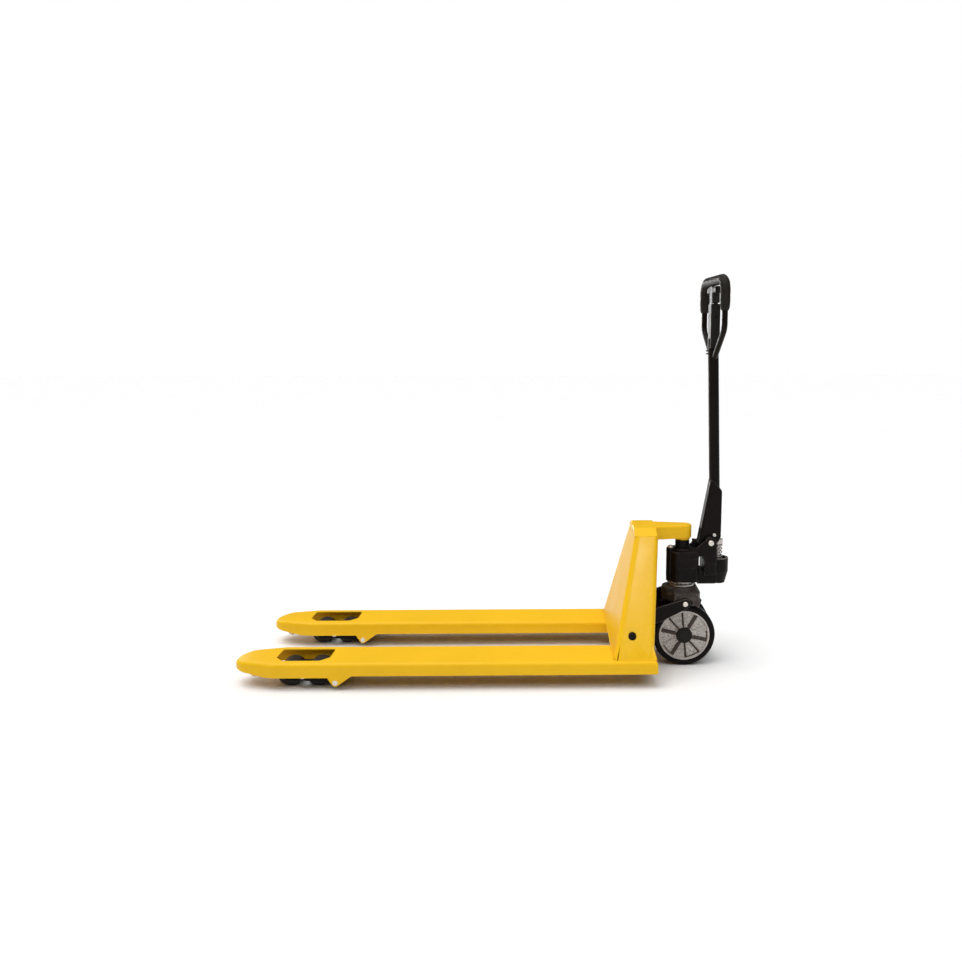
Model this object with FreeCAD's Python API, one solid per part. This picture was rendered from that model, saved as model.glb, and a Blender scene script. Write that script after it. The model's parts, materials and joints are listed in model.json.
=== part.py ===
import FreeCAD, Part
import os
from math import atan2, cos, degrees, hypot, pi, radians, sin

# Hand pallet truck, millimetres. +X runs from the fork tips to the handle, +Z is up, the floor is z = 0.
# The left side is the operator's left at the handle, which is -Y. Everything is drawn with the forks down.

# Forks
TIP_X, REAR_X = -773.0, 515.0
FORK_Y, FORK_HALF = 195.0, 80.0
FORK_TOP, FORK_BOTTOM, FRONT_BOTTOM = 85.0, 45.0, 40.0
SHEET, TOP_BEND = 4.0, 12.0
TAPER_X, NOSE_X, NOSE_HALF, NOSE_BOTTOM = -640.0, -735.0, 56.0, 57.0
SLOT_X, SLOT_HALF, SLOT_CORNER = (-644.0, -482.0), 51.5, 24.0
NOSE_DROP_X, NOSE_DROP = -723.0, 8.0
LEVER_SLOT = (392.0, 488.0)
WELD_GROOVE = (379.0, 381.5)
SIDES = (("left", -1), ("right", 1))

# Load rollers, their bogies and the swinging wheel frames
ROLLER_R, ROLLER_HALF, ROLLER_Z = 37.0, 35.0, 37.0
ROLLERS = (("front", -603.5), ("rear", -517.5))
BOGIE_X = -560.5
FRAME_PIVOT = (-455.5, 24.0)
FRAME_PIN_R = 8.5
ROD_ARM, ROD_ARM_ANGLE = 41.7, 38.0
ROD_PIN = (FRAME_PIVOT[0] + ROD_ARM * sin(radians(ROD_ARM_ANGLE)),
           FRAME_PIVOT[1] + ROD_ARM * cos(radians(ROD_ARM_ANGLE)))
ENTRY = (-712.0, 41.0)
ENTRY_R = 13.0

# Upright frame above the heel of the forks
FACE_X, FACE_TOP_X = 382.0, 457.6
UPRIGHT_Z0, UPRIGHT_Z1 = FORK_TOP, 430.0
HALF_BOTTOM, HALF_TOP = 263.0, 97.3
CAP_HALF = 64.0
REAR_TOP_X, REAR_LOW_X, FLARE_Z = 533.0, 505.0, 128.0
PLATE, FOLD, REAR_LIP = 5.0, 14.0, 34.0
HEAD_Z0, HEAD_Z1 = 408.0, 451.0
HEAD_END_R = 29.0

# Rocker between the upright and the steering yoke
ROCKER = (440.0, 150.0)
YOKE_PIN = (619.5, 212.0)
LEVER_PIN = (ROCKER[0] + 27.2, ROCKER[1] - 86.6)
ARM_Y = (95.0, 107.0)

# Steering group
STEER_X = 622.0
WHEEL_R, WHEEL_Z, WHEEL_Y = 100.0, 100.0, (31.0, 81.0)
RAM_R, RAM_TOP = 23.0, 398.0
BODY_Z = (268.0, 368.0)
CUP_X, CUP_R, CUP_TOP = 739.0, 34.0, 340.0
CUP_BORE_R, CUP_FLOOR = 19.0, 318.0
PLUG_AT = (581.0, -20.0)
HANDLE_PIVOT = (708.0, 396.0)
RELEASE_SCREW = (657.0, 391.0)
PRESS_ROLLER = (722.0, 418.0)
PRESS_R = 16.0
HANDLE_PIN_R, PRESS_PIN_R = 9.0, 5.5
CHEEK_Y = (16.0, 23.5)

# Handle, drawn upright and then leaned towards the forks
TUBE_X, TUBE_R, TUBE_WALL = 728.7, 17.0, 2.6
HANDLE_LEAN = 1.88
TUBE_Z = (520.0, 1046.0)
LEVER_Z, LEVER_TOP = 1134.0, 1205.0
LOOP_HALF, LOOP_R, GRIP_R, LOOP_TURN = 110.0, 9.0, 15.5, 6.0
LOOP_LOW, LOOP_BEND, GRIP_LOW, LOOP_TOP = 988.0, 1072.0, 1128.0, 1223.0

RUN = 0.05        # radial running clearance
GAP = 0.4         # clearance between curved faces on different bodies

V = FreeCAD.Vector
X, Y, Z = V(1, 0, 0), V(0, 1, 0), V(0, 0, 1)


def box(x, y, z):
    return Part.makeBox(x[1] - x[0], y[1] - y[0], z[1] - z[0], V(x[0], y[0], z[0]))


def span(a, b):
    return (min(a, b), max(a, b))


def rod_y(at, y, r):
    """A cylinder along Y at (x, z), between two y values."""
    y = span(*y)
    return Part.makeCylinder(r, y[1] - y[0], V(at[0], y[0], at[1]), Y)


def rod_z(x, y, z, r):
    return Part.makeCylinder(r, z[1] - z[0], V(x, y, z[0]), Z)


def cone_z(x, y, z, r0, r1):
    return Part.makeCone(r0, r1, z[1] - z[0], V(x, y, z[0]), Z)


def ball(x, y, z, r):
    return Part.makeSphere(r, V(x, y, z))


def plate(points, y):
    """A flat plate from an outline of (x, z) points, between two y values."""
    y = span(*y)
    wire = Part.makePolygon([V(px, y[0], pz) for px, pz in points + points[:1]])
    return Part.Face(wire).extrude(V(0, y[1] - y[0], 0))


def slab(points, z):
    """A flat slab from an outline of (x, y) points, between two z values."""
    wire = Part.makePolygon([V(px, py, z[0]) for px, py in points + points[:1]])
    return Part.Face(wire).extrude(V(0, 0, z[1] - z[0]))


def fuse(shapes):
    out = shapes[0]
    for shape in shapes[1:]:
        out = out.fuse(shape)
    return out.removeSplitter()


def cut(shape, tools):
    for tool in tools:
        shape = shape.cut(tool)
    return shape


def strap(a, ra, b, rb, y):
    """A plate shaped like a belt round two circles at (x, z) points a and b."""
    dx, dz = b[0] - a[0], b[1] - a[1]
    length = hypot(dx, dz)
    turn = atan2(dz, dx)
    lean = pi / 2 + atan2(rb - ra, (length ** 2 - (rb - ra) ** 2) ** 0.5)
    corners = []
    for centre, r, side in ((a, ra, 1), (b, rb, 1), (b, rb, -1), (a, ra, -1)):
        angle = turn + side * lean
        corners.append((centre[0] + r * cos(angle), centre[1] + r * sin(angle)))
    return fuse([plate(corners, y), rod_y(a, y, ra), rod_y(b, y, rb)])


def edges_where(shape, test):
    return [edge for edge in shape.Edges if test(edge)]


def round_edges(shape, r, test):
    return shape.makeFillet(r, edges_where(shape, test))


def at_height(z):
    def level(edge):
        heights = [vertex.Z for vertex in edge.Vertexes] + [edge.CenterOfMass.z]
        return all(abs(height - z) < 1e-4 for height in heights)

    return level


def upright(edge):
    a, b = edge.Vertexes[0].Point, edge.Vertexes[-1].Point
    return abs(a.x - b.x) < 1e-4 and abs(a.y - b.y) < 1e-4 and abs(a.z - b.z) > 1


def leaned(shape):
    """Leans a handle piece from upright towards the forks, about the foot of the draw bar."""
    shape = shape.copy()
    shape.rotate(V(TUBE_X, 0, HANDLE_PIVOT[1]), Y, -HANDLE_LEAN)
    return shape


def on_bar(shape):
    """Sets a piece of the upright handle end on the top of the leaning draw bar, turned as the loop is."""
    shape = shape.copy()
    shape.rotate(V(TUBE_X, 0, 0), Z, LOOP_TURN)
    shape.translate(V(-(LOOP_LOW - HANDLE_PIVOT[1]) * sin(radians(HANDLE_LEAN)), 0, 0))
    return shape


def save(name, shape):
    shapes = shape if isinstance(shape, list) else [shape]
    solids = [solid for item in shapes for solid in item.Solids]
    out = solids[0] if len(solids) == 1 else Part.makeCompound(solids)
    out.exportStep("parts/%s.step" % name)


# ---- forks ----

def fork_block(inset, z, rear):
    """The fork's outline in plan, tapered and rounded at the tip, as a solid block."""
    half, nose = FORK_HALF - inset, NOSE_HALF - 0.8 * inset
    tip, nose_x = TIP_X + inset, NOSE_X + 0.6 * inset
    line = [V(nose_x, nose, z[0]), V(TAPER_X + 0.2 * inset, half, z[0]), V(rear, half, z[0]),
            V(rear, -half, z[0]), V(TAPER_X + 0.2 * inset, -half, z[0]), V(nose_x, -nose, z[0])]
    edges = [Part.makeLine(a, b) for a, b in zip(line, line[1:])]
    edges.append(Part.Arc(line[-1], V(tip, 0, z[0]), line[0]).toShape())
    return Part.Face(Part.Wire(edges)).extrude(V(0, 0, z[1] - z[0]))


def chamfered_slot(x, half, corner, z):
    """The roller slot, its corners cut off on the left side and only rounded on the right."""
    points = [(x[0], 1.2 * corner - half), (x[0] + corner, -half), (x[1] - corner, -half),
              (x[1], 1.2 * corner - half), (x[1], half), (x[0], half)]
    return round_edges(slab(points, z), 8.0, upright)


def dropped(block, top, bend):
    """Slopes the top down towards the nose and rounds the top's edges."""
    wedge = plate([(NOSE_DROP_X, top), (NOSE_DROP_X, top + 5), (TIP_X - 5, top + 5),
                   (TIP_X - 5, top - NOSE_DROP)], (-100.0, 100.0))

    def around_top(edge):
        low, high = edge.BoundBox.ZMin, edge.BoundBox.ZMax
        across = abs(edge.CenterOfMass.x - NOSE_DROP_X) < 0.1 and high - low < 0.1
        return low > top - NOSE_DROP - 2 and not across

    return round_edges(block.cut(wedge), bend, around_top)


def fork():
    outer = dropped(fork_block(0.0, (5.0, FORK_TOP), REAR_X), FORK_TOP, TOP_BEND)
    inner = dropped(fork_block(SHEET, (0.0, FORK_TOP - SHEET), REAR_X - SHEET), FORK_TOP - SHEET,
                    TOP_BEND - SHEET)
    below = [(TIP_X - 5, NOSE_BOTTOM), (-670.0, FRONT_BOTTOM), (-440.0, FRONT_BOTTOM), (-413.0, FORK_BOTTOM),
             (REAR_X + 5, FORK_BOTTOM), (REAR_X + 5, 0.0), (TIP_X - 5, 0.0)]
    shell = cut(outer, [inner, plate(below, (-100.0, 100.0))])
    lugs = []
    for side in (-1, 1):
        y = (side * (FORK_HALF - 2 * SHEET), side * FORK_HALF)
        outline = [(-482.0, 46.0), (-465.4, 18.6), (-449.0, 15.0), (-405.0, 46.0)]
        lugs += [plate(outline, y), rod_y(FRAME_PIVOT, y, FRAME_PIN_R + 2.6)]
    shell = fuse([shell] + lugs)
    openings = [chamfered_slot(SLOT_X, SLOT_HALF, SLOT_CORNER, (FORK_TOP - 10, FORK_TOP + 5)),
                box(LEVER_SLOT, (-30.0, 30.0), (FORK_TOP - 10, FORK_TOP + 5)),
                box(WELD_GROOVE, (-90.0, 90.0), (FORK_TOP - 0.4, FORK_TOP + 5)),
                rod_y(FRAME_PIVOT, (-90.0, 90.0), FRAME_PIN_R + RUN)]
    return cut(shell, openings)


def beside(shape, side):
    """A fork part drawn on the centre line, moved to the fork on one side."""
    shape = shape.copy()
    shape.translate(V(0, side * FORK_Y, 0))
    return shape


def forks():
    shell = fork()
    ribs, tabs, shafts = [], [], []
    for name, side in SIDES:
        save("fork_" + name, beside(shell, side))
        for v in (-1, 1):
            ribs.append(beside(box((-380.0, 372.0), span(v * 48.0, v * 54.0), (52.0, 81.0)), side))
            tab = strap(ENTRY, 8.0, (ENTRY[0], 66.0), 9.0, (v * 34.0, v * 39.0))
            tab = cut(fuse([tab, box((ENTRY[0] - 9, ENTRY[0] + 9), span(v * 34.0, v * 39.0), (66.0, 81.0))]),
                      [rod_y(ENTRY, (v * 20.0, v * 50.0), 5.0)])
            tabs.append(beside(tab, side))
        shafts.append(beside(rod_y(ENTRY, (-41.0, 41.0), 5.0), side))
        shafts.append(beside(rod_y(FRAME_PIVOT, (-79.6, 79.6), FRAME_PIN_R), side))
        roller = cut(rod_y(ENTRY, (-33.0, 33.0), ENTRY_R), [rod_y(ENTRY, (-40.0, 40.0), 5.0 + RUN)])
        roller = round_edges(roller, 1.5, lambda edge: len(edge.Vertexes) == 1 and edge.Length > 50)
        save("entry_roller_" + name, beside(roller, side))
    save("fork_stiffeners", ribs)
    save("entry_roller_tabs", tabs)
    save("fork_shafts", shafts)


# ---- wheel frames, bogies and load rollers ----

def wheel_frame():
    """Two cheek plates on a cross tube, with the bogie at one corner and the push rod at the other."""
    pieces = []
    for v in (-1, 1):
        y = (v * 44.0, v * 50.0)
        pieces.append(strap(FRAME_PIVOT, 15.0, (BOGIE_X, ROLLER_Z), 15.0, y))
        pieces.append(strap(FRAME_PIVOT, 15.0, ROD_PIN, 13.0, y))
        pieces.append(plate([FRAME_PIVOT, (-520.0, 40.0), ROD_PIN], y))
    pieces.append(rod_y(FRAME_PIVOT, (-46.0, 46.0), 14.0))
    bores = [rod_y(FRAME_PIVOT, (-60.0, 60.0), FRAME_PIN_R + RUN), rod_y(ROD_PIN, (-60.0, 60.0), 8.0),
             rod_y((BOGIE_X, ROLLER_Z), (-60.0, 60.0), 7.0)]
    clear = rod_y((ROLLERS[1][1], ROLLER_Z), (-43.9, 43.9), ROLLER_R + 1.2)
    return cut(fuse(pieces), bores + [clear])


def wheel_frame_pins():
    pins = [rod_y(ROD_PIN, (-50.0, 50.0), 8.0)]
    for v in (-1, 1):
        pins.append(fuse([rod_y((BOGIE_X, ROLLER_Z), (v * 37.0, v * 50.0), 7.0),
                          rod_y((BOGIE_X, ROLLER_Z), (v * 50.0, v * 53.0), 10.0)]))
    return pins


def bogie_plates():
    plates = []
    for v in (-1, 1):
        y = (v * 37.0, v * 43.0)
        outline = strap((ROLLERS[0][1], ROLLER_Z), 19.0, (ROLLERS[1][1], ROLLER_Z), 19.0, y)
        bores = [rod_y((x, ROLLER_Z), (v * 30.0, v * 60.0), 10.0) for _, x in ROLLERS]
        bores.append(rod_y((BOGIE_X, ROLLER_Z), (v * 30.0, v * 60.0), 7.0 + RUN))
        plates.append(cut(outline, bores))
    return plates


def load_roller(x):
    at = (x, ROLLER_Z)
    tread = rod_y(at, (-ROLLER_HALF, ROLLER_HALF), ROLLER_R)
    tread = round_edges(tread, 4.0, lambda edge: len(edge.Vertexes) == 1)
    recess = [rod_y(at, (v * (ROLLER_HALF - 3.0), v * (ROLLER_HALF + 3.0)), 24.0) for v in (-1, 1)]
    hub = [rod_y(at, (-ROLLER_HALF - 1.4, ROLLER_HALF + 1.4), 14.0)]
    return cut(fuse([cut(tread, recess)] + hub), [rod_y(at, (-60.0, 60.0), 10.0 + RUN)])


def push_rod():
    """A bar with a round eye on the wheel frame's pin and a tall slotted eye at the rocker's lever."""
    front = strap(ROD_PIN, 14.0, (ROD_PIN[0] + 34.0, ROD_PIN[1]), 11.0, (-14.0, 14.0))
    bar = Part.makeCylinder(11.0, LEVER_PIN[0] - ROD_PIN[0] - 60.0,
                            V(ROD_PIN[0] + 24.0, 0, ROD_PIN[1]), X)
    rear_x = LEVER_PIN[0] - 40.0
    rear = plate([(rear_x, 44.0), (rear_x, 64.0), (LEVER_PIN[0] - 12, 79.0), (LEVER_PIN[0] + 14, 79.0),
                  (LEVER_PIN[0] + 17, 74.0), (LEVER_PIN[0] + 17, 30.0), (LEVER_PIN[0] - 6, 28.0)],
                 (-7.0, 7.0))
    slot_x, slot_z = (LEVER_PIN[0] - 1.0, LEVER_PIN[0] + 0.8), (LEVER_PIN[1] - 18.0, LEVER_PIN[1] + 3.0)
    slot = fuse([rod_y((x, z), (-20.0, 20.0), 7.6) for x in slot_x for z in slot_z]
                + [box((slot_x[0] - 7.6, slot_x[1] + 7.6), (-20.0, 20.0), slot_z),
                   box(slot_x, (-20.0, 20.0), (slot_z[0] - 7.6, slot_z[1] + 7.6))])
    return cut(fuse([front, bar, rear]), [rod_y(ROD_PIN, (-30.0, 30.0), 8.0 + RUN), slot])


def running_gear():
    pieces = {"wheel_frame_": wheel_frame(), "wheel_frame_pins_": wheel_frame_pins(),
              "bogie_plates_": bogie_plates(), "push_rod_": push_rod(),
              "roller_axles_": [rod_y((x, ROLLER_Z), (-43.0, 43.0), 10.0) for _, x in ROLLERS]}
    for name, side in SIDES:
        for stem, shape in pieces.items():
            items = shape if isinstance(shape, list) else [shape]
            save(stem + name, [beside(item, side) for item in items])
        for end, x in ROLLERS:
            save("load_roller_%s_%s" % (end, name), beside(load_roller(x), side))


# ---- upright frame ----

def face_x(z):
    return FACE_X + (FACE_TOP_X - FACE_X) * (z - UPRIGHT_Z0) / (UPRIGHT_Z1 - UPRIGHT_Z0)


def half_at(z):
    return HALF_BOTTOM + (HALF_TOP - HALF_BOTTOM) * (z - UPRIGHT_Z0) / (UPRIGHT_Z1 - UPRIGHT_Z0)


def frustum(inset, bend):
    """The upright's tapering outline as a solid, its four sloping corners rounded."""
    rings = []
    for z, rear in ((UPRIGHT_Z0, REAR_LOW_X), (UPRIGHT_Z1, REAR_TOP_X)):
        x0, x1, half = face_x(z) + inset, rear - inset, half_at(z) - 1.1 * inset
        corners = [V(x0, -half, z), V(x1, -half, z), V(x1, half, z), V(x0, half, z)]
        rings.append(Part.makePolygon(corners + corners[:1]))
    solid = Part.makeLoft(rings, True, True)
    return round_edges(solid, bend, lambda edge: edge.BoundBox.ZLength > 100)


def behind_fold(extra):
    """Everything behind the line where the load face ends and the side plates begin."""
    z0, z1 = UPRIGHT_Z0 - 10, UPRIGHT_Z1 + 10
    step = FOLD + 3 + extra
    outline = [(face_x(z0) + step, z0), (800.0, z0), (800.0, z1), (face_x(z1) + step, z1)]
    return plate(outline, (-400.0, 400.0))


def folded_sheet():
    return frustum(0.0, FOLD).cut(frustum(PLATE, FOLD - PLATE))


def load_face():
    return folded_sheet().cut(behind_fold(0.0))


def side_plate(side):
    """A sloping cheek whose rear edge is folded inwards, with a foot and a bore for the rocker's shaft."""
    half = box((0.0, 900.0), span(0.0, side * 400.0), (0.0, 600.0))
    sheet = folded_sheet().common(behind_fold(0.0)).common(half)
    z0, z1 = UPRIGHT_Z0 - 10, UPRIGHT_Z1 + 10
    opening = [V(480.0, side * y, z) for y, z in ((0.0, z0), (half_at(z0) - REAR_LIP, z0),
                                                  (half_at(z1) - REAR_LIP, z1), (0.0, z1))]
    middle = Part.Face(Part.makePolygon(opening + opening[:1])).extrude(V(100, 0, 0))
    foot_at = [(REAR_LOW_X - 16, UPRIGHT_Z0), (REAR_X - 1, UPRIGHT_Z0), (REAR_LOW_X - 4, FLARE_Z)]
    corners = [V(x, side * half_at(z), z) for x, z in foot_at]
    foot = Part.Face(Part.makePolygon(corners + corners[:1])).extrude(V(0, -side * (PLATE + 0.5), 0))
    bore = rod_y(ROCKER, (side * 180.0, side * 300.0), 12.0)
    return cut(fuse([sheet.cut(middle), foot]), [bore])


def cross_member():
    """The folded channel under the load face that joins the two forks."""
    inner = FORK_Y - FORK_HALF
    web = box((FACE_X + 9, FACE_X + 14), (-inner, inner), (FORK_BOTTOM, FORK_TOP))
    top = box((FACE_X, REAR_LOW_X - 60), (-inner, inner), (FORK_TOP - 5, FORK_TOP))
    foot = box((FACE_X + 9, FACE_X + 54), (-inner, inner), (FORK_BOTTOM, FORK_BOTTOM + 5))
    return fuse([web, top, foot])


def head_outline(grow, x0, z):
    """The plan of the beam that reaches over the lift ram, round at its end."""
    r = HEAD_END_R + grow
    wide = 54.0 + grow
    edges = [Part.makeLine(V(STEER_X, r, z[0]), V(x0, wide, z[0])),
             Part.makeLine(V(x0, wide, z[0]), V(x0, -wide, z[0])),
             Part.makeLine(V(x0, -wide, z[0]), V(STEER_X, -r, z[0])),
             Part.Arc(V(STEER_X, -r, z[0]), V(STEER_X + r, 0, z[0]), V(STEER_X, r, z[0])).toShape()]
    return Part.Face(Part.Wire(edges)).extrude(V(0, 0, z[1] - z[0]))


def cap_prism(inset, x):
    """The cap's section across the truck, flat on top with both flanks folded down, between two x values."""
    half, low = HALF_TOP - 1.2 * inset, UPRIGHT_Z1 - 0.2 * inset
    flat, high = CAP_HALF - inset / 2, HEAD_Z1 - inset
    outline = [(-half, low), (-flat, high), (flat, high), (half, low)]
    wire = Part.makePolygon([V(x[0], py, pz) for py, pz in outline + outline[:1]])
    return Part.Face(wire).extrude(V(x[1] - x[0], 0, 0))


def head_beam():
    """The cap over the upright and the beam that reaches back from it over the lift ram."""
    x0, x1 = FACE_TOP_X, REAR_TOP_X - 4
    cap = round_edges(cap_prism(0.0, (x0, x1)), 9.0, lambda edge: edge.BoundBox.ZMin > UPRIGHT_Z1 + 1
                      and edge.BoundBox.XMax < x1 - 1)
    cap = cap.cut(cap_prism(7.0, (x0 + 7, x1 + 1)))
    beam = round_edges(head_outline(0.0, x0 + 30, (HEAD_Z0, HEAD_Z1)), 6.0,
                       lambda edge: at_height(HEAD_Z1)(edge) and edge.CenterOfMass.x > x0 + 31)
    hollow = head_outline(-6.0, x0 + 36, (HEAD_Z0 - 1, HEAD_Z1 - 8))
    keep = rod_z(STEER_X, 0, (HEAD_Z0 - 1, HEAD_Z1 - 8), 26.0)
    return fuse([cap, beam.cut(hollow.cut(keep))])


def ram_socket():
    ring = rod_z(STEER_X, 0, (RAM_TOP + 3, HEAD_Z0), 24.0)
    return ring.cut(ball(STEER_X, 0, RAM_TOP + 6, 13.0 + GAP))


def upright_frame():
    save("load_face", load_face())
    for name, side in SIDES:
        save("side_plate_" + name, side_plate(side))
    save("cross_member", cross_member())
    save("head_beam", head_beam().cut(ball(STEER_X, 0, RAM_TOP + 6, 13.0 + GAP)))
    save("ram_socket", ram_socket())
    ram = rod_z(STEER_X, 0, (276.0, RAM_TOP), RAM_R)
    ram = round_edges(ram, 1.5, at_height(RAM_TOP))
    save("lift_ram", ram.cut(ball(STEER_X, 0, RAM_TOP + 6, 13.0 + GAP)))
    save("ram_ball", ball(STEER_X, 0, RAM_TOP + 6, 13.0))
    save("rocker_shafts", [rod_y(ROCKER, (side * 180.0, side * (half_at(ROCKER[1]) + 3.0)), 12.0)
                           for _, side in SIDES])


# ---- rocker ----

def rocker_arm(side):
    """The curved arm that runs from the torsion tube over the steering wheel to the yoke."""
    y = (side * ARM_Y[0], side * ARM_Y[1])
    knee = (ROCKER[0] + 92.0, ROCKER[1] + 26.0)
    arm = fuse([strap(ROCKER, 32.0, knee, 24.0, y), strap(knee, 24.0, YOKE_PIN, 16.0, y)])
    return cut(arm, [rod_y(ROCKER, (side * 80.0, side * 120.0), 25.0),
                     rod_y(YOKE_PIN, (side * 80.0, side * 120.0), 8.0)])


def lower_levers(side):
    levers = []
    for v in (-1, 1):
        centre = side * FORK_Y
        lever = strap(ROCKER, 30.0, LEVER_PIN, 14.0, (centre + v * 8.5, centre + v * 16.5))
        levers.append(cut(lever, [rod_y(ROCKER, (centre - 40, centre + 40), 25.0),
                                  rod_y(LEVER_PIN, (centre - 40, centre + 40), 7.0)]))
    return levers


def rocker():
    ends = FORK_Y + 16.5
    tube = rod_y(ROCKER, (-ends, ends), 25.0)
    save("torsion_tube", cut(tube, [rod_y(ROCKER, (side * 178.0, side * 230.0), 12.0 + RUN)
                                    for _, side in SIDES] + [rod_y(ROCKER, (-170.0, 170.0), 19.0)]))
    plates = []
    pins = []
    for _, side in SIDES:
        plates.append(rocker_arm(side))
        plates += lower_levers(side)
        pins.append(rod_y(LEVER_PIN, (side * FORK_Y - 18.5, side * FORK_Y + 18.5), 7.0))
        pins.append(rod_y(YOKE_PIN, (side * 85.0, side * (ARM_Y[1] + 3)), 8.0))
    save("rocker_levers", plates)
    save("rocker_pins", pins)


# ---- yoke and thrust bearing ----

def yoke():
    """The casting that carries the thrust bearing, with two ears slotted for the rocker's pins."""
    ring = fuse([rod_z(STEER_X, 0, (205.0, 224.0), 61.5), cone_z(STEER_X, 0, (224.0, 250.0), 61.5, 46.5)])
    lobe = rod_z(STEER_X - 24, 0, (205.0, 248.0), 41.0)
    lobe = round_edges(lobe, 4.0, lambda edge: len(edge.Vertexes) == 1)
    ears = []
    for _, side in SIDES:
        outline = [(590.0, 240.0), (656.0, 240.0), (674.0, 222.0), (664.0, 195.0), (654.0, 202.0),
                   (594.0, 202.0), (584.0, 214.0)]
        ears.append(plate(outline, (side * 84.0, side * 94.0)))
        inner, outer = side * 44.0, side * 84.0
        ears.append(slab([(588.0, inner), (656.0, inner), (662.0, outer), (586.0, outer)], (212.0, 240.0)))
    slots = []
    for _, side in SIDES:
        y = span(side * 84.5, side * 100.0)
        slots += [rod_y((x, YOKE_PIN[1]), y, 9.8) for x in (YOKE_PIN[0] - 2, YOKE_PIN[0] + 16)]
        slots.append(box((YOKE_PIN[0] - 2, YOKE_PIN[0] + 16), y, (YOKE_PIN[1] - 9.8, YOKE_PIN[1] + 9.8)))
    return cut(fuse([ring, lobe] + ears), slots + [rod_z(STEER_X, 0, (180.0, 260.0), 21.0)])


def yoke_group():
    save("yoke", yoke())
    save("thrust_race", rod_z(STEER_X, 0, (250.0, 255.0), 42.0).cut(rod_z(STEER_X, 0, (240.0, 260.0), 24.0)))
    race = rod_z(STEER_X, 0, (262.2, BODY_Z[0]), 44.0).cut(rod_z(STEER_X, 0, (250.0, 270.0), 24.0))
    balls = [ball(STEER_X + 34 * cos(pi * i / 8), 34 * sin(pi * i / 8), 258.6, 3.5) for i in range(16)]
    save("thrust_bearing", [race] + balls)


# ---- pump and steering post ----

def pump_ear(side):
    """An ear that rises from the pump body to the handle's pivot."""
    y = (side * 38.0, side * 47.0)
    x, z = HANDLE_PIVOT
    outline = [(652.0, 352.0), (652.0, 374.0), (664.0, 383.0), (x - 11.5, z + 13.0), (x + 17.0, z),
               (728.0, 352.0), (728.0, 336.0), (688.0, 336.0), (684.0, 352.0)]
    return fuse([plate(outline, y), rod_y(HANDLE_PIVOT, y, 17.5)])


def pump_body():
    """The casting: ram cylinder, reservoir, neck, plunger cup, handle ears and the post for the wheels."""
    block = round_edges(box((584.0, 671.0), (-56.0, 56.0), BODY_Z), 18.0, upright)
    block = round_edges(block, 3.0, at_height(BODY_Z[1]))
    tank = round_edges(box((573.0, 610.0), (-33.0, 33.0), (BODY_Z[0], BODY_Z[1] - 4)), 12.0, upright)
    boss = rod_z(STEER_X, 0, (BODY_Z[0], BODY_Z[1] + 4), 33.0)
    pad = rod_z(PLUG_AT[0], PLUG_AT[1], (BODY_Z[0], BODY_Z[1] + 10), 13.0)
    neck = round_edges(box((650.0, 730.0), (-38.0, 38.0), (258.0, 302.0)), 9.0, at_height(258.0))
    keel = cone_z(CUP_X, 0, (257.0, 296.0), 24.0, CUP_R)
    cup = rod_z(CUP_X, 0, (296.0, CUP_TOP), CUP_R)
    shoulder = box((688.0, 728.0), (-47.0, 47.0), (290.0, CUP_TOP))
    shoulder = round_edges(shoulder, 6.0, lambda edge: upright(edge) and edge.CenterOfMass.x > 720)
    post = rod_z(STEER_X, 0, (116.0, BODY_Z[0]), 20.0)
    knuckle = rod_y((STEER_X, WHEEL_Z), (-30.0, 30.0), 27.0)
    below = box((500.0, 668.0), (-80.0, 80.0), (200.0, BODY_Z[0]))
    body = fuse([block, tank, boss, pad, neck.cut(below), keel, cup, shoulder, post, knuckle]
                + [pump_ear(side) for _, side in SIDES])
    bores = [rod_z(STEER_X, 0, (274.0, 400.0), RAM_R + RUN),
             rod_z(CUP_X, 0, (CUP_FLOOR, 360.0), CUP_BORE_R),
             rod_z(CUP_X, 0, (CUP_TOP - 8, 360.0), 27.0),
             rod_z(CUP_X, 0, (268.0, 360.0), 8.0 + RUN),
             rod_y((STEER_X, WHEEL_Z), (-60.0, 60.0), 10.0),
             rod_y(HANDLE_PIVOT, (-60.0, 60.0), HANDLE_PIN_R)]
    return cut(body, bores)


def oil_plug():
    x, y = PLUG_AT
    foot = BODY_Z[1] + 10
    return fuse([rod_z(x, y, (foot, foot + 4), 10.0), rod_z(x, y, (foot + 4, foot + 7), 6.0)])


def plunger():
    """The pump's plunger with the wide cap that the handle's roller presses."""
    cap_top = PRESS_ROLLER[1] - PRESS_R - GAP
    cap = round_edges(rod_z(CUP_X, 0, (cap_top - 16.0, cap_top), 15.5), 2.0, at_height(cap_top))
    return fuse([cap, rod_z(CUP_X, 0, (306.0, cap_top - 12.0), 8.0)])


def spring(z, r, wire, turns):
    helix = Part.makeHelix((z[1] - z[0]) / turns, z[1] - z[0], r)
    helix.translate(V(CUP_X, 0, z[0]))
    profile = Part.Wire(Part.makeCircle(wire, V(CUP_X + r, 0, z[0]), Y))
    return Part.Wire(helix).makePipeShell([profile], True, False)


def release_arm():
    """The bell crank on the pump that opens the lowering valve, with its adjusting screw."""
    at, y = RELEASE_SCREW, -12.0
    arm = strap((at[0], at[1]), 7.0, (694.0, 378.0), 6.0, (y - 4, y + 4))
    pivot = rod_y((694.0, 378.0), (-37.8, 37.8), 4.0)
    screw = [rod_z(at[0], y, (at[1] - 14, at[1] + 12), 3.0), rod_z(at[0], y, (at[1] + 7, at[1] + 13), 6.0)]
    return fuse([arm, pivot] + screw)


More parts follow.
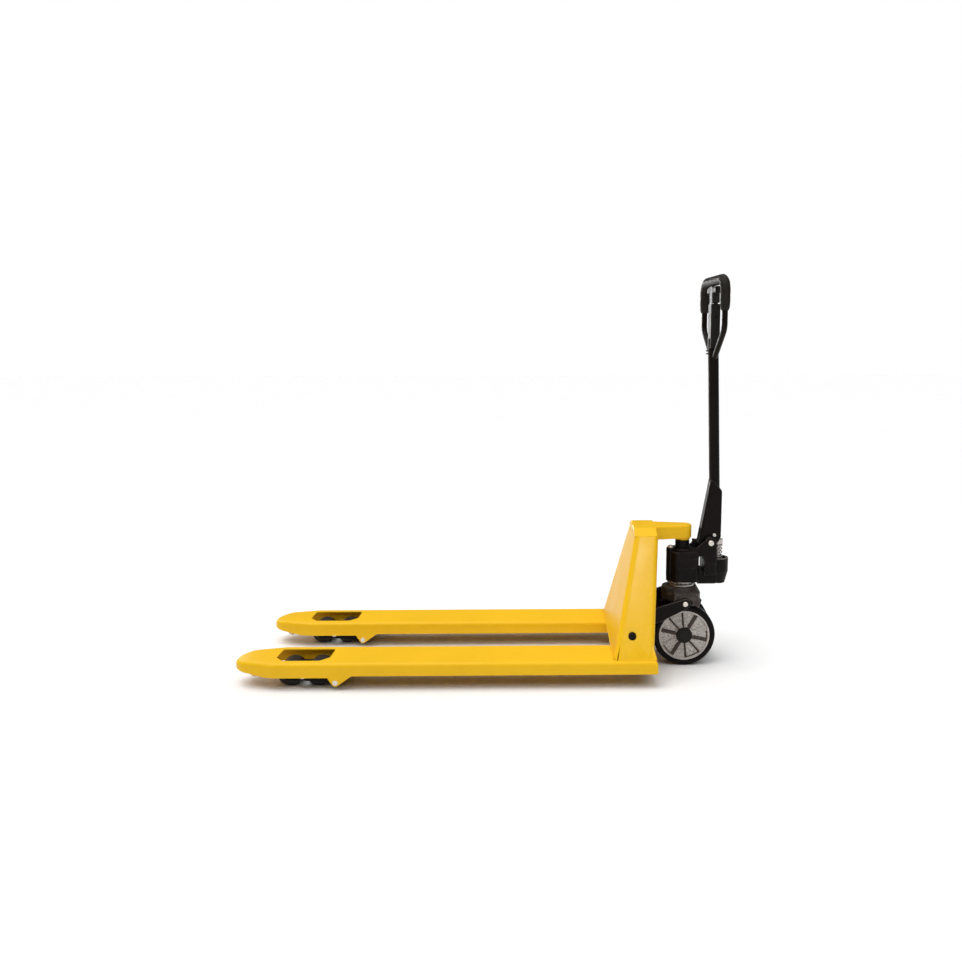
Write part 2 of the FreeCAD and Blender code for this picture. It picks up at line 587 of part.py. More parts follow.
def pump_group():
    save("pump_body", pump_body())
    save("oil_plug", oil_plug())
    gland = rod_z(STEER_X, 0, (BODY_Z[1] + 4, BODY_Z[1] + 8), 29.0)
    save("ram_gland", gland.cut(rod_z(STEER_X, 0, (360.0, 400.0), RAM_R + RUN)))
    save("steering_axle", rod_y((STEER_X, WHEEL_Z), (-78.0, 78.0), 10.0))
    save("handle_pivot_pin", rod_y(HANDLE_PIVOT, (-50.0, 50.0), HANDLE_PIN_R))
    save("plunger", plunger())
    save("plunger_spring", spring((CUP_FLOOR + 2.2, PRESS_ROLLER[1] - PRESS_R - 18.6), 13.2, 1.9, 6.0))
    save("release_arm", release_arm())


# ---- steering wheels ----

def revolve_y(points, side, at):
    """A ring from a half section of (radius, y) points, turned about an axle along Y."""
    corners = [V(at[0] + r, side * y, at[1]) for r, y in points]
    face = Part.Face(Part.makePolygon(corners + corners[:1]))
    return face.revolve(V(at[0], 0, at[1]), Y, 360)


def wheel_rim(side):
    at = (STEER_X, WHEEL_Z)
    y0, y1 = WHEEL_Y
    section = [(10.0 + RUN, y0 + 1), (30.0, y0 + 1), (32.0, y0 + 10), (70.0, y0 + 10), (76.0, y0 + 2),
               (82.0, y0 + 2), (82.0, y1 - 1.5), (76.0, y1 - 1.5), (73.0, y1 - 8), (32.0, y1 - 8),
               (29.0, y1 - 4), (10.0 + RUN, y1 - 4)]
    disc = revolve_y(section, side, at)
    ribs = []
    for i in range(10):
        across = span(side * (y1 - 12), side * (y1 - 4))
        rib = box((at[0] + 27, at[0] + 75), across, (at[1] - 2.4, at[1] + 2.4))
        rib.rotate(V(at[0], 0, at[1]), Y, 36.0 * i - 13.0)
        ribs.append(rib)
    return fuse([disc] + ribs)


def wheel_tyre(side):
    y0, y1 = WHEEL_Y
    section = [(82.0, y0 + 2), (92.0, y0 + 1), (97.0, y0 + 2), (WHEEL_R, y0 + 6), (WHEEL_R, y1 - 6),
               (97.0, y1 - 2), (92.0, y1), (82.0, y1 - 1)]
    return revolve_y(section, side, (STEER_X, WHEEL_Z))


def hub_cap(side):
    y1 = WHEEL_Y[1]
    section = [(0.0, y1 - 2.6), (10.2, y1 - 2.6), (10.2, y1 - 4), (26.0, y1 - 4), (26.0, y1 - 1),
               (23.0, y1 + 1.5), (0.0, y1 + 2)]
    return revolve_y(section, side, (STEER_X, WHEEL_Z))


def steering_wheels():
    for name, side in SIDES:
        save("wheel_rim_" + name, wheel_rim(side))
        save("wheel_tyre_" + name, wheel_tyre(side))
        save("hub_cap_" + name, hub_cap(side))


# ---- handle ----

def bracket_front(z):
    """The sloping front edge of the handle's bracket."""
    return 672.5 + 0.176 * (z - 400.0)


def handle_base():
    """A folded bracket: two tapered cheeks on the pivot pin, joined by a web on the fork side."""
    x, z = HANDLE_PIVOT
    outline = [(bracket_front(392.0), 392.0), (677.0, 385.0), (694.0, 384.0), (x + 4, z - 18.0),
               (x + 15, z - 10.0), (736.0, 396.0), (743.5, 412.0), (744.0, 560.0), (740.0, 568.0),
               (bracket_front(600.0) + 3, 600.0), (bracket_front(594.0), 594.0)]
    cheeks = [round_edges(plate(outline, (side * CHEEK_Y[0], side * CHEEK_Y[1])), 4.0,
                          lambda edge: abs(edge.Vertexes[0].Y - edge.Vertexes[-1].Y) > 3)
              for side in (-1, 1)]
    cheeks += [rod_y(HANDLE_PIVOT, (side * CHEEK_Y[1], side * 37.6), 15.0) for side in (-1, 1)]
    low, high, across = 440.0, 592.0, (-CHEEK_Y[0] - 1, CHEEK_Y[0] + 1)
    web = plate([(bracket_front(low), low), (bracket_front(low) + 6, low), (bracket_front(high) + 6, high),
                 (bracket_front(high), high)], across)
    base = fuse(cheeks + [web])
    return cut(base, [rod_y(HANDLE_PIVOT, (-60.0, 60.0), HANDLE_PIN_R + RUN),
                      rod_y(PRESS_ROLLER, (-60.0, 60.0), PRESS_PIN_R)])


def loop_path(z0):
    """The closed end of the handle in its own plane, from one leg up, over and down the other."""
    corners = [(16.0, LOOP_LOW), (LOOP_HALF, LOOP_BEND), (LOOP_HALF, LOOP_TOP), (-LOOP_HALF, LOOP_TOP),
               (-LOOP_HALF, LOOP_BEND), (-16.0, LOOP_LOW)]
    radii = [0.0, 40.0, 36.0, 36.0, 40.0, 0.0]
    if z0 is not None:
        corners = [(LOOP_HALF, z0), (LOOP_HALF, LOOP_TOP), (-LOOP_HALF, LOOP_TOP), (-LOOP_HALF, z0)]
        radii = [0.0, 36.0, 36.0, 0.0]
    points = [V(TUBE_X, y, z) for y, z in corners]
    edges = []
    start = points[0]
    for before, corner, after, r in zip(points, points[1:], points[2:], radii[1:]):
        u, w = (before - corner).normalize(), (after - corner).normalize()
        half = u.getAngle(w) / 2
        back = r * cos(half) / sin(half)
        a, b = corner + u * back, corner + w * back
        middle = corner + (u + w).normalize() * (r / sin(half) - r)
        edges += [Part.makeLine(start, a), Part.Arc(a, middle, b).toShape()]
        start = b
    edges.append(Part.makeLine(start, points[-1]))
    return Part.Wire(edges)


def pipe(path, r):
    start = path.Edges[0]
    profile = Part.Wire(Part.makeCircle(r, start.valueAt(start.FirstParameter),
                                        start.tangentAt(start.FirstParameter)))
    return path.makePipeShell([profile], True, False)


def control_housing():
    """The box on top of the draw bar that the release lever rocks in."""
    shell = box((TUBE_X - 15, TUBE_X + 15), (-19.0, 19.0), (TUBE_Z[1] - 30, 1152.0))
    shell = round_edges(shell, 5.0, upright)
    well = box((TUBE_X - 11, TUBE_X + 11), (-14.0, 14.0), (TUBE_Z[1] - 31, 1160.0))
    return cut(shell, [well, rod_y((TUBE_X, LEVER_Z), (-30.0, 30.0), 5.0 + RUN)])


def release_lever():
    pin = rod_y((TUBE_X, LEVER_Z), (-18.8, 18.8), 5.0)
    stem = box((TUBE_X - 7, TUBE_X + 7), (-13.0, 13.0), (LEVER_Z - 10, 1184.0))
    head = round_edges(box((TUBE_X - 12.5, TUBE_X + 12.5), (-17.0, 17.0), (1155.5, LEVER_TOP)), 4.0, upright)
    paddle = round_edges(box((TUBE_X - 12, TUBE_X + 12), (-44.0, 44.0), (1184.0, LEVER_TOP)), 6.0,
                         lambda edge: edge.BoundBox.YLength > 50)
    return fuse([pin, stem, head, paddle])


def handle_group():
    save("handle_base", handle_base().cut(leaned(rod_z(TUBE_X, 0, (500.0, 700.0), TUBE_R))))
    tube = rod_z(TUBE_X, 0, TUBE_Z, TUBE_R).cut(rod_z(TUBE_X, 0, (500.0, 1060.0), TUBE_R - TUBE_WALL))
    save("handle_tube", leaned(tube))
    bar = leaned(rod_z(TUBE_X, 0, (900.0, TUBE_Z[1]), TUBE_R))
    save("handle_loop", on_bar(pipe(loop_path(None), LOOP_R)).cut(bar))
    save("handle_grip", on_bar(pipe(loop_path(GRIP_LOW), GRIP_R).cut(pipe(loop_path(GRIP_LOW), LOOP_R))))
    save("control_housing", on_bar(control_housing()).cut(bar))
    save("release_lever", on_bar(release_lever()))
    links = []
    for i in range(12):
        link = Part.makeTorus(5.0, 1.2, V(TUBE_X, 0, 596.0 - 7.2 * i), X if i % 2 else Y)
        links.append(leaned(link))
    save("release_linkage", [leaned(rod_z(TUBE_X, 0, (602.5, 1112.0), 3.5))] + links)
    save("pump_roller_pin", rod_y(PRESS_ROLLER, (-27.5, 27.5), PRESS_PIN_R))
    roller = rod_y(PRESS_ROLLER, (-13.0, 13.0), PRESS_R)
    roller = roller.cut(rod_y(PRESS_ROLLER, (-20.0, 20.0), PRESS_PIN_R + RUN))
    save("pump_roller", roller)


os.makedirs("parts", exist_ok=True)
forks()
running_gear()
upright_frame()
rocker()
yoke_group()
pump_group()
steering_wheels()
handle_group()
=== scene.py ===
import json
from math import cos, hypot, pi, radians, sin

import bmesh
import bpy
from mathutils import Matrix, Vector, noise


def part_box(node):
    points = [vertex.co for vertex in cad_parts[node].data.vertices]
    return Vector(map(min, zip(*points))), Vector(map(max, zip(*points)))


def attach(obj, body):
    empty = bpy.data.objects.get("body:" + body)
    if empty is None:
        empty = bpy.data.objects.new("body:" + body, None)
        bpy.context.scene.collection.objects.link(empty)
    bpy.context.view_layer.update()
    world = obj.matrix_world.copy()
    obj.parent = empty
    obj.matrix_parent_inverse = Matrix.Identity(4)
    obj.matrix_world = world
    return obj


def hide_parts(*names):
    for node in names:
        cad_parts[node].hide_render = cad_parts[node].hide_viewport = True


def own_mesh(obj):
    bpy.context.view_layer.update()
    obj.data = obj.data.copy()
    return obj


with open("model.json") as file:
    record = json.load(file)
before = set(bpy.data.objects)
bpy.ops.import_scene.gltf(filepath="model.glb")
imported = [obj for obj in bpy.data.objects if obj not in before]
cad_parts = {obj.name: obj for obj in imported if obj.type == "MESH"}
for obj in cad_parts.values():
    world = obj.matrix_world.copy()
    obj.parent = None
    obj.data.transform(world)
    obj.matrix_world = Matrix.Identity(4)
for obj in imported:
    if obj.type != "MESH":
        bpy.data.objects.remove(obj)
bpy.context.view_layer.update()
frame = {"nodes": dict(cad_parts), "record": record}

# Hand pallet truck, in metres. +X runs from the fork tips to the handle, -Y is the operator's left, and the
# floor is z = 0. Outlines for the lathe, and other sizes that are multiplied by MM, are in millimetres.

MM = 0.001
SIDES = (("left", -1), ("right", 1))
RECORD = frame["record"]
BODY = {node: body for body, nodes in RECORD["behaviour"]["bodies"].items() for node in nodes}
SLOT = {part["node"]: part["material_slot"] for part in RECORD["subparts"]}
JOINT = {joint["name"]: joint for joint in RECORD["behaviour"]["joints"]}


def place(joint):
    return Vector(JOINT[joint]["pos_m"])


# ---- materials ----

def new_material(name):
    material = bpy.data.materials.new(name)
    material.use_nodes = True
    tree = material.node_tree
    shader = tree.nodes["Principled BSDF"]
    return material, tree, shader


def node(tree, kind, **settings):
    made = tree.nodes.new(kind)
    for key, value in settings.items():
        if key in made.inputs:
            made.inputs[key].default_value = value
        else:
            setattr(made, key, value)
    return made


def object_space(tree, stretch=(1.0, 1.0, 1.0)):
    """The piece's own metres, stretched where a grain has a direction."""
    coordinates = node(tree, "ShaderNodeTexCoord")
    mapping = node(tree, "ShaderNodeMapping")
    mapping.inputs["Scale"].default_value = stretch
    tree.links.new(coordinates.outputs["Object"], mapping.inputs["Vector"])
    return mapping.outputs["Vector"]


def noise_from(tree, vector, scale, detail=4.0, rough=0.6):
    texture = node(tree, "ShaderNodeTexNoise")
    texture.inputs["Scale"].default_value = scale
    texture.inputs["Detail"].default_value = detail
    texture.inputs["Roughness"].default_value = rough
    tree.links.new(vector, texture.inputs["Vector"])
    return texture.outputs["Fac"]


def ramp_from(tree, value, stops):
    ramp = node(tree, "ShaderNodeValToRGB")
    elements = ramp.color_ramp.elements
    while len(elements) < len(stops):
        elements.new(0.5)
    for element, (at, colour) in zip(elements, stops):
        element.position = at
        element.color = (*colour, 1.0) if len(colour) == 3 else colour
    tree.links.new(value, ramp.inputs["Fac"])
    return ramp.outputs["Color"]


def grey_ramp(tree, value, stops):
    return ramp_from(tree, value, [(at, (level, level, level)) for at, level in stops])


def mix_colours(tree, share, first, second, blend="MIX"):
    mix = node(tree, "ShaderNodeMix", data_type="RGBA", blend_type=blend)
    factor, a, b = mix.inputs[0], mix.inputs[6], mix.inputs[7]
    for socket, value in ((factor, share), (a, first), (b, second)):
        if isinstance(value, bpy.types.NodeSocket):
            tree.links.new(value, socket)
        elif isinstance(value, float):
            socket.default_value = value
        else:
            socket.default_value = (*value, 1.0)
    return mix.outputs[2]


def bumped(tree, shader, layers):
    """Bump from several heights, each (height, strength, depth in metres)."""
    normal = None
    for height, strength, depth in layers:
        bump = node(tree, "ShaderNodeBump")
        bump.inputs["Strength"].default_value = strength
        bump.inputs["Distance"].default_value = depth
        tree.links.new(height, bump.inputs["Height"])
        if normal is not None:
            tree.links.new(normal, bump.inputs["Normal"])
        normal = bump.outputs["Normal"]
    tree.links.new(normal, shader.inputs["Normal"])


def scaled(colour, factor):
    return tuple(channel * factor for channel in colour)


def finish_of(name, colour, spread=0.15, cloud=30.0, rough=0.4, metallic=0.0, grain=None, pits=None,
              specular=0.09, stretch=(1.0, 1.0, 1.0), worn_and_highlight=None):
    """A coat: its colour drifts by +-spread over clouds, its roughness drifts too, its grain is bumped.

    cloud is how fine the drift is. grain and pits are (fineness, strength, depth in metres), and the last
    argument is the lighter colour along sharp edges: wear, with a painted highlight where edges catch light.
    """
    material, tree, shader = new_material(name)
    space = object_space(tree, stretch)
    drift = noise_from(tree, space, cloud, 5.0)
    tint = ramp_from(tree, drift, [(0.3, scaled(colour, 1 - spread)), (0.7, scaled(colour, 1 + spread))])
    layers = []
    if grain:
        scale, strength, depth = grain
        layers.append((noise_from(tree, space, scale, 3.0, 0.5), strength, depth))
    if pits:
        scale, strength, depth = pits
        cells = node(tree, "ShaderNodeTexVoronoi")
        cells.inputs["Scale"].default_value = scale
        tree.links.new(space, cells.inputs["Vector"])
        pitted = grey_ramp(tree, cells.outputs["Distance"], [(0.0, 0.0), (0.35, 1.0)])
        layers.append((pitted, strength, depth))
    # sharp crests take a lighter colour: wear, and a painted highlight on edges that catch light
    if worn_and_highlight:
        crest = node(tree, "ShaderNodeNewGeometry").outputs["Pointiness"]
        crests = grey_ramp(tree, crest, [(0.505, 0.0), (0.56, 1.0)])
        patchy = grey_ramp(tree, noise_from(tree, space, 160.0, 4.0), [(0.42, 0.0), (0.62, 1.0)])
        tint = mix_colours(tree, mix_colours(tree, 1.0, crests, patchy, "MULTIPLY"), tint, worn_and_highlight)
    tree.links.new(tint, shader.inputs["Base Color"])
    smear = noise_from(tree, space, cloud * 3.7, 3.0)
    gloss = grey_ramp(tree, smear, [(0.3, rough * 0.82), (0.7, min(1.0, rough * 1.18))])
    tree.links.new(gloss, shader.inputs["Roughness"])
    shader.inputs["Metallic"].default_value = metallic
    shader.inputs["Specular IOR Level"].default_value = specular
    if layers:
        bumped(tree, shader, layers)
    return material


YELLOW = (0.900, 0.520, 0.0085)
YELLOW_SCUFF = (0.76, 0.40, 0.010)
YELLOW_DUST = (0.84, 0.55, 0.06)


def yellow_paint(name, gloss, specular):
    """Powder coat: even yellow with orange peel, faint drifts of tone, and fine scuffs along the forks."""
    material, tree, shader = new_material(name)
    space = object_space(tree)
    drift = noise_from(tree, space, 4.0, 5.0)
    tone = ramp_from(tree, drift, [(0.3, scaled(YELLOW, 0.96)), (0.7, scaled(YELLOW, 1.03))])
    along = object_space(tree, (6.0, 260.0, 60.0))
    streaks = grey_ramp(tree, noise_from(tree, along, 1.0, 6.0, 0.7), [(0.60, 0.0), (0.74, 0.25)])
    scuffed = mix_colours(tree, streaks, tone, YELLOW_SCUFF)
    motes = grey_ramp(tree, noise_from(tree, space, 420.0, 2.0), [(0.70, 0.0), (0.78, 0.25)])
    dusty = mix_colours(tree, motes, scuffed, YELLOW_DUST)
    tree.links.new(dusty, shader.inputs["Base Color"])
    sheen = grey_ramp(tree, noise_from(tree, space, 14.0, 4.0), [(0.3, gloss - 0.05), (0.7, gloss + 0.05)])
    tree.links.new(sheen, shader.inputs["Roughness"])
    shader.inputs["Specular IOR Level"].default_value = specular
    peel = noise_from(tree, space, 620.0, 2.0, 0.4)
    bumped(tree, shader, [(peel, 0.10, 0.0003), (streaks, 0.06, 0.0001)])
    return material


def sand_cast_face():
    """The wheel disc: bright blasted aluminium with dark pores."""
    material, tree, shader = new_material("blasted_aluminium")
    space = object_space(tree)
    speckle = noise_from(tree, space, 210.0, 6.0, 0.85)
    base = ramp_from(tree, speckle, [(0.36, (0.15, 0.128, 0.115)), (0.5, (0.54, 0.50, 0.47)),
                                     (0.64, (0.84, 0.80, 0.77))])
    cloud = grey_ramp(tree, noise_from(tree, space, 24.0, 4.0), [(0.3, 0.80), (0.7, 1.0)])
    tree.links.new(mix_colours(tree, 1.0, base, cloud, "MULTIPLY"), shader.inputs["Base Color"])
    shader.inputs["Metallic"].default_value = 0.35
    gloss = grey_ramp(tree, speckle, [(0.3, 0.66), (0.7, 0.50)])
    tree.links.new(gloss, shader.inputs["Roughness"])
    bumped(tree, shader, [(speckle, 0.5, 0.0006)])
    return material


STRETCH_Y = (1.0, 0.06, 1.0)
STRETCH_Z = (1.0, 1.0, 0.06)

MATERIALS = {
    "yellow_paint": yellow_paint("yellow_powder_coat", 0.37, 0.17),
    "zinc_steel": finish_of("zinc_plate", (0.74, 0.70, 0.64), 0.12, 60.0, 0.36, 0.75, (900.0, 0.15, 0.0002),
                            specular=0.4),
    "black_paint": finish_of("black_powder_coat", (0.0068, 0.0044, 0.0034), 0.18, 18.0, 0.34,
                             grain=(700.0, 0.14, 0.0003)),
    "black_oxide": finish_of("blackened_steel", (0.010, 0.0078, 0.0066), 0.25, 40.0, 0.30, 0.25,
                             (800.0, 0.1, 0.0002)),
    "bearing_steel": finish_of("ground_steel", (0.64, 0.59, 0.56), 0.15, 50.0, 0.36, 0.45,
                               (1400.0, 0.12, 0.0001), specular=0.4, stretch=STRETCH_Z),
    "spring_steel": finish_of("oiled_spring_steel", (0.44, 0.41, 0.39), 0.2, 120.0, 0.22, 0.9,
                              (900.0, 0.1, 0.0001), specular=0.4),
    # the castings' lighter edge colour is wear together with a painted highlight
    "black_casting": finish_of("black_casting", (0.0062, 0.0040, 0.0032), 0.3, 26.0, 0.42, 0.0,
                               (430.0, 0.4, 0.0007), (300.0, 0.14, 0.0004), 0.11, worn_and_highlight=(0.10, 0.086, 0.078)),
    "grey_casting": finish_of("grey_casting", (0.056, 0.044, 0.038), 0.55, 55.0, 0.40, 0.1,
                              (380.0, 0.7, 0.0012), (260.0, 0.3, 0.0008), 0.24, worn_and_highlight=(0.26, 0.235, 0.22)),
    "wheel_aluminium": sand_cast_face(),
    "wheel_tread": finish_of("black_polyurethane", (0.0070, 0.0046, 0.0042), 0.25, 30.0, 0.46, 0.0,
                             (520.0, 0.18, 0.0004), stretch=STRETCH_Y),
    "roller_tread": finish_of("roller_polyurethane", (0.0085, 0.0072, 0.0066), 0.25, 30.0, 0.34, 0.0,
                              (520.0, 0.16, 0.0003), specular=0.35, stretch=STRETCH_Y),
    "entry_nylon": finish_of("natural_nylon", (0.66, 0.46, 0.34), 0.12, 60.0, 0.42, 0.0,
                             (800.0, 0.12, 0.0002), specular=0.4),
    "hub_plastic": finish_of("moulded_plastic", (0.0135, 0.0108, 0.0092), 0.15, 30.0, 0.42, 0.0,
                             (1100.0, 0.2, 0.0003), specular=0.15),
    "grip_rubber": finish_of("grip_rubber", (0.0155, 0.0125, 0.0098), 0.2, 26.0, 0.50, 0.0,
                             (900.0, 0.3, 0.0004), specular=0.13),
}
GLOSSY_YELLOW = yellow_paint("glossy_yellow_coat", 0.27, 0.36)
# lighter black for the rounded edges of black parts: rubbed paint, and a painted highlight
RUBBED_AND_HIGHLIT_BLACK = finish_of("rubbed_black_edge_with_painted_highlight", (0.060, 0.052, 0.047), 0.4, 70.0, 0.34, 0.2,
                         (600.0, 0.3, 0.0004), specular=0.3)
# dark grey that paints shade on the wheel's ribs and on the steps inside its rim
RIB_SHADE = finish_of("rib_painted_shade", (0.075, 0.060, 0.053), 0.25, 50.0, 0.5, 0.2, (480.0, 0.35, 0.0006))
POLISHED = finish_of("turned_aluminium", (0.50, 0.46, 0.44), 0.15, 60.0, 0.38, 0.5,
                     (1500.0, 0.1, 0.0001), specular=0.4, stretch=STRETCH_Y)
WORN_RIM = finish_of("worn_casting_edge", (0.24, 0.21, 0.19), 0.5, 110.0, 0.36, 0.6, (600.0, 0.5, 0.0006),
                     specular=0.3)
CORE_GREY = finish_of("roller_core", (0.052, 0.050, 0.046), 0.25, 50.0, 0.42, 0.2, (700.0, 0.2, 0.0003),
                      specular=0.2)


# ---- making and placing pieces ----

def add_object(name, bm, materials, smooth=38.0):
    mesh = bpy.data.meshes.new(name)
    bm.to_mesh(mesh)
    bm.free()
    mesh.polygons.foreach_set("use_smooth", [True] * len(mesh.polygons))
    mesh.set_sharp_from_angle(angle=radians(smooth))
    piece = bpy.data.objects.new(name, mesh)
    bpy.context.scene.collection.objects.link(piece)
    for material in materials if isinstance(materials, (list, tuple)) else [materials]:
        mesh.materials.append(material)
    return piece


def settle(piece, body, slot):
    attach(piece, body)
    return piece


def stand_for(piece, *nodes):
    """The piece takes the place of CAD nodes, on their body."""
    settle(piece, BODY[nodes[0]], SLOT[nodes[0]])
    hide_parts(*nodes)
    return piece


EDGE_SEGMENTS = 2
EDGE_ANGLE = 32.0         # degrees; an edge flatter than this isn't rounded


def bevelled(piece, width):
    """Rounds the piece's edges by their bevel weights."""
    modifier = piece.modifiers.new("edges", "BEVEL")
    modifier.width = width
    modifier.segments = EDGE_SEGMENTS
    modifier.limit_method = "WEIGHT"
    modifier.harden_normals = True
    modifier.use_clamp_overlap = False
    modifier.miter_outer = "MITER_ARC"
    return modifier


SEAM, SLIVER = 4e-6, 1e-6
FLAT = 0.4                # degrees between faces that are taken as one flat face


def clean_copy(name):
    """The CAD node's mesh with its seams joined and its flat faces whole."""
    bm = bmesh.new()
    bm.from_mesh(frame["nodes"][name].data)
    bmesh.ops.remove_doubles(bm, verts=bm.verts, dist=SEAM)
    bmesh.ops.dissolve_degenerate(bm, edges=bm.edges, dist=SLIVER)
    bmesh.ops.dissolve_limit(bm, angle_limit=radians(FLAT), verts=bm.verts, edges=bm.edges)
    return bm


ONWARD = -0.8             # cosine past which the next edge only carries this one on
ROOM_SHARED, ROOM_ALONE = 0.42, 0.8


def room_beside(edge, chosen):
    """How far the edge can be rounded before it meets what lies beside its two ends.

    An edge that is rounded as well leaves room for less than half of its length.
    """
    room = 1.0
    for vert in edge.verts:
        along = (edge.other_vert(vert).co - vert.co).normalized()
        for other in vert.link_edges:
            away = (other.other_vert(vert).co - vert.co).normalized()
            if other is not edge and along.dot(away) > ONWARD:
                room = min(room, other.calc_length() * (ROOM_SHARED if other in chosen else ROOM_ALONE))
    return room


def edge_rounded(name, width, sharp=None, reshape=None):
    """The CAD node with the small round edges of a bent, sawn or machined piece.

    reshape(bm) changes its form first, and sharp(edge) says which edges stay as they are.
    """
    bm = clean_copy(name)
    if reshape:
        reshape(bm)
    weights = bm.edges.layers.float.new("bevel_weight_edge")
    chosen = {edge for edge in bm.edges if len(edge.link_faces) == 2
              and edge.calc_face_angle(0.0) > radians(EDGE_ANGLE) and not (sharp and sharp(edge))}
    for edge in chosen:
        edge[weights] = min(1.0, room_beside(edge, chosen) / width)
    coat = GLOSSY_YELLOW if name.startswith("side_plate") else MATERIALS[SLOT[name]]
    piece = add_object(name + "_finished", bm, coat, EDGE_ANGLE)
    edges = bevelled(piece, width)
    # black parts get a lighter colour on their rounded edges: a little rubbed paint, and a painted highlight
    # where the edges catch light
    if SLOT[name] == "black_paint":
        piece.data.materials.append(RUBBED_AND_HIGHLIT_BLACK)
        edges.material = 1
    if reshape:
        piece.modifiers.new("even", "WEIGHTED_NORMAL").keep_sharp = True
    return stand_for(piece, name)


FOLD_R = 6.5 * MM         # the bend's radius
FOLD_STEPS = 6
FOLD_LENGTH = 150.0 * MM  # only the bracket's long corners rise further than this
CHEEK_FACE = 23.5 * MM    # from the middle of the bracket to the outside of a cheek
FLAT_START = 1.5 * MM     # one more cut this far behind the bend keeps the shading of the flat cheek flat
ON_FACE = 0.05 * MM       # a corner this near to a face belongs to it


def fold_rounded(bm):
    """Turns the handle bracket's two long front corners into the wide bends of a folded sheet."""
    def rise(edge):
        return abs(edge.verts[0].co.z - edge.verts[1].co.z)

    front = min((edge for edge in bm.edges if rise(edge) > FOLD_LENGTH), key=lambda edge: edge.verts[0].co.x)
    foot, head = sorted((vert.co.copy() for vert in front.verts), key=lambda co: co.z)
    inward = Vector((0, 1, 0)).cross(head - foot).normalized()
    cuts = [FOLD_R * (1 - cos(pi / 2 * step / FOLD_STEPS)) for step in range(1, FOLD_STEPS + 1)]
    for deep in cuts + [FOLD_R + FLAT_START]:
        bmesh.ops.bisect_plane(bm, geom=bm.verts[:] + bm.edges[:] + bm.faces[:], dist=1e-7,
                               plane_co=foot + inward * deep, plane_no=inward)
    for vert in bm.verts:
        deep = max(0.0, (vert.co - foot).dot(inward))
        if abs(abs(vert.co.y) - CHEEK_FACE) < ON_FACE and deep < FOLD_R:
            vert.co.y *= 1 - (FOLD_R - (FOLD_R ** 2 - (FOLD_R - deep) ** 2) ** 0.5) / CHEEK_FACE


ARM_FACE, ARM_GAP = 16.0 * MM, 1.0 * MM


def arm_clear(bm):
    """Takes the release arm's outer face inwards, so that it doesn't rub on the handle's bracket."""
    for vert in bm.verts:
        if abs(vert.co.y + ARM_FACE) < ON_FACE:
            vert.co.y += ARM_GAP


def add_block(bm, x, y, z):
    """A plain block between two corners, in millimetres, to be melted into a casting."""
    size = Matrix.Diagonal((x[1] - x[0], y[1] - y[0], z[1] - z[0], 1.0))
    centre = Matrix.Translation(((x[0] + x[1]) / 2, (y[0] + y[1]) / 2, (z[0] + z[1]) / 2))
    bmesh.ops.create_cube(bm, size=1.0, matrix=Matrix.Scale(MM, 4) @ centre @ size)


CAST_SOFTENING = 4


def cast(name, voxel, keep, blocks=()):
    """The CAD node as a casting, its inside and outside corners run together by the mould."""
    bm = clean_copy(name)
    bmesh.ops.triangulate(bm, faces=bm.faces)
    for block in blocks:
        add_block(bm, *block)
    piece = add_object(name + "_cast", bm, MATERIALS[SLOT[name]], 180.0)
    remesh = piece.modifiers.new("skin", "REMESH")
    remesh.mode = "VOXEL"
    remesh.voxel_size = voxel
    remesh.use_smooth_shade = True
    smooth = piece.modifiers.new("soften", "SMOOTH")
    smooth.factor = 0.5
    smooth.iterations = CAST_SOFTENING
    fewer = piece.modifiers.new("fewer", "DECIMATE")
    fewer.ratio = keep
    return stand_for(piece, name)


def islands(bm):
    """The separate solids in a mesh, each as its list of corners."""
    left = set(bm.verts)
    while left:
        group, edge_of = set(), [next(iter(left))]
        while edge_of:
            vert = edge_of.pop()
            if vert in group:
                continue
            group.add(vert)
            edge_of += [edge.other_vert(vert) for edge in vert.link_edges]
        left -= group
        yield [vert.co.copy() for vert in group]


PIN_SIDES = 48


def turned_pins(name, chamfer, waist=0.0):
    """The CAD node's round bars along Y, turned on a lathe: chamfered, with a centre mark in each end.

    waist is how deep the groove for a snap ring is near each end.
    """
    bm = bmesh.new()
    bars = sorted(islands(clean_copy(name)), key=lambda bar: tuple(min(p[i] for p in bar) for i in (0, 1)))
    for points in bars:
        low = [min(p[i] for p in points) for i in range(3)]
        high = [max(p[i] for p in points) for i in range(3)]
        at = ((low[0] + high[0]) / 2, 0.0, (low[2] + high[2]) / 2)
        r = (high[0] - low[0]) / 2 / MM
        y0, y1 = low[1] / MM, high[1] / MM
        mark = [(r * 0.30, 0.0), (r * 0.22, 0.7), (0.0, 1.4)]
        outline = [(rr, y0 + d) for rr, d in reversed(mark)] + [(r - chamfer, y0), (r, y0 + chamfer)]
        groove = [(r, y0 + 4.0), (r - waist, y0 + 4.1), (r - waist, y0 + 5.2), (r, y0 + 5.3)] if waist else []
        groove += [(rr, y1 + y0 - d) for rr, d in reversed(groove)]
        outline += groove + [(r, y1 - chamfer), (r - chamfer, y1)] + [(rr, y1 - d) for rr, d in mark]
        lathe(bm, outline, at, 1, PIN_SIDES, closed=False)
    piece = add_object(name + "_turned", recalculated(bm), MATERIALS[SLOT[name]], 30.0)
    return stand_for(piece, name)


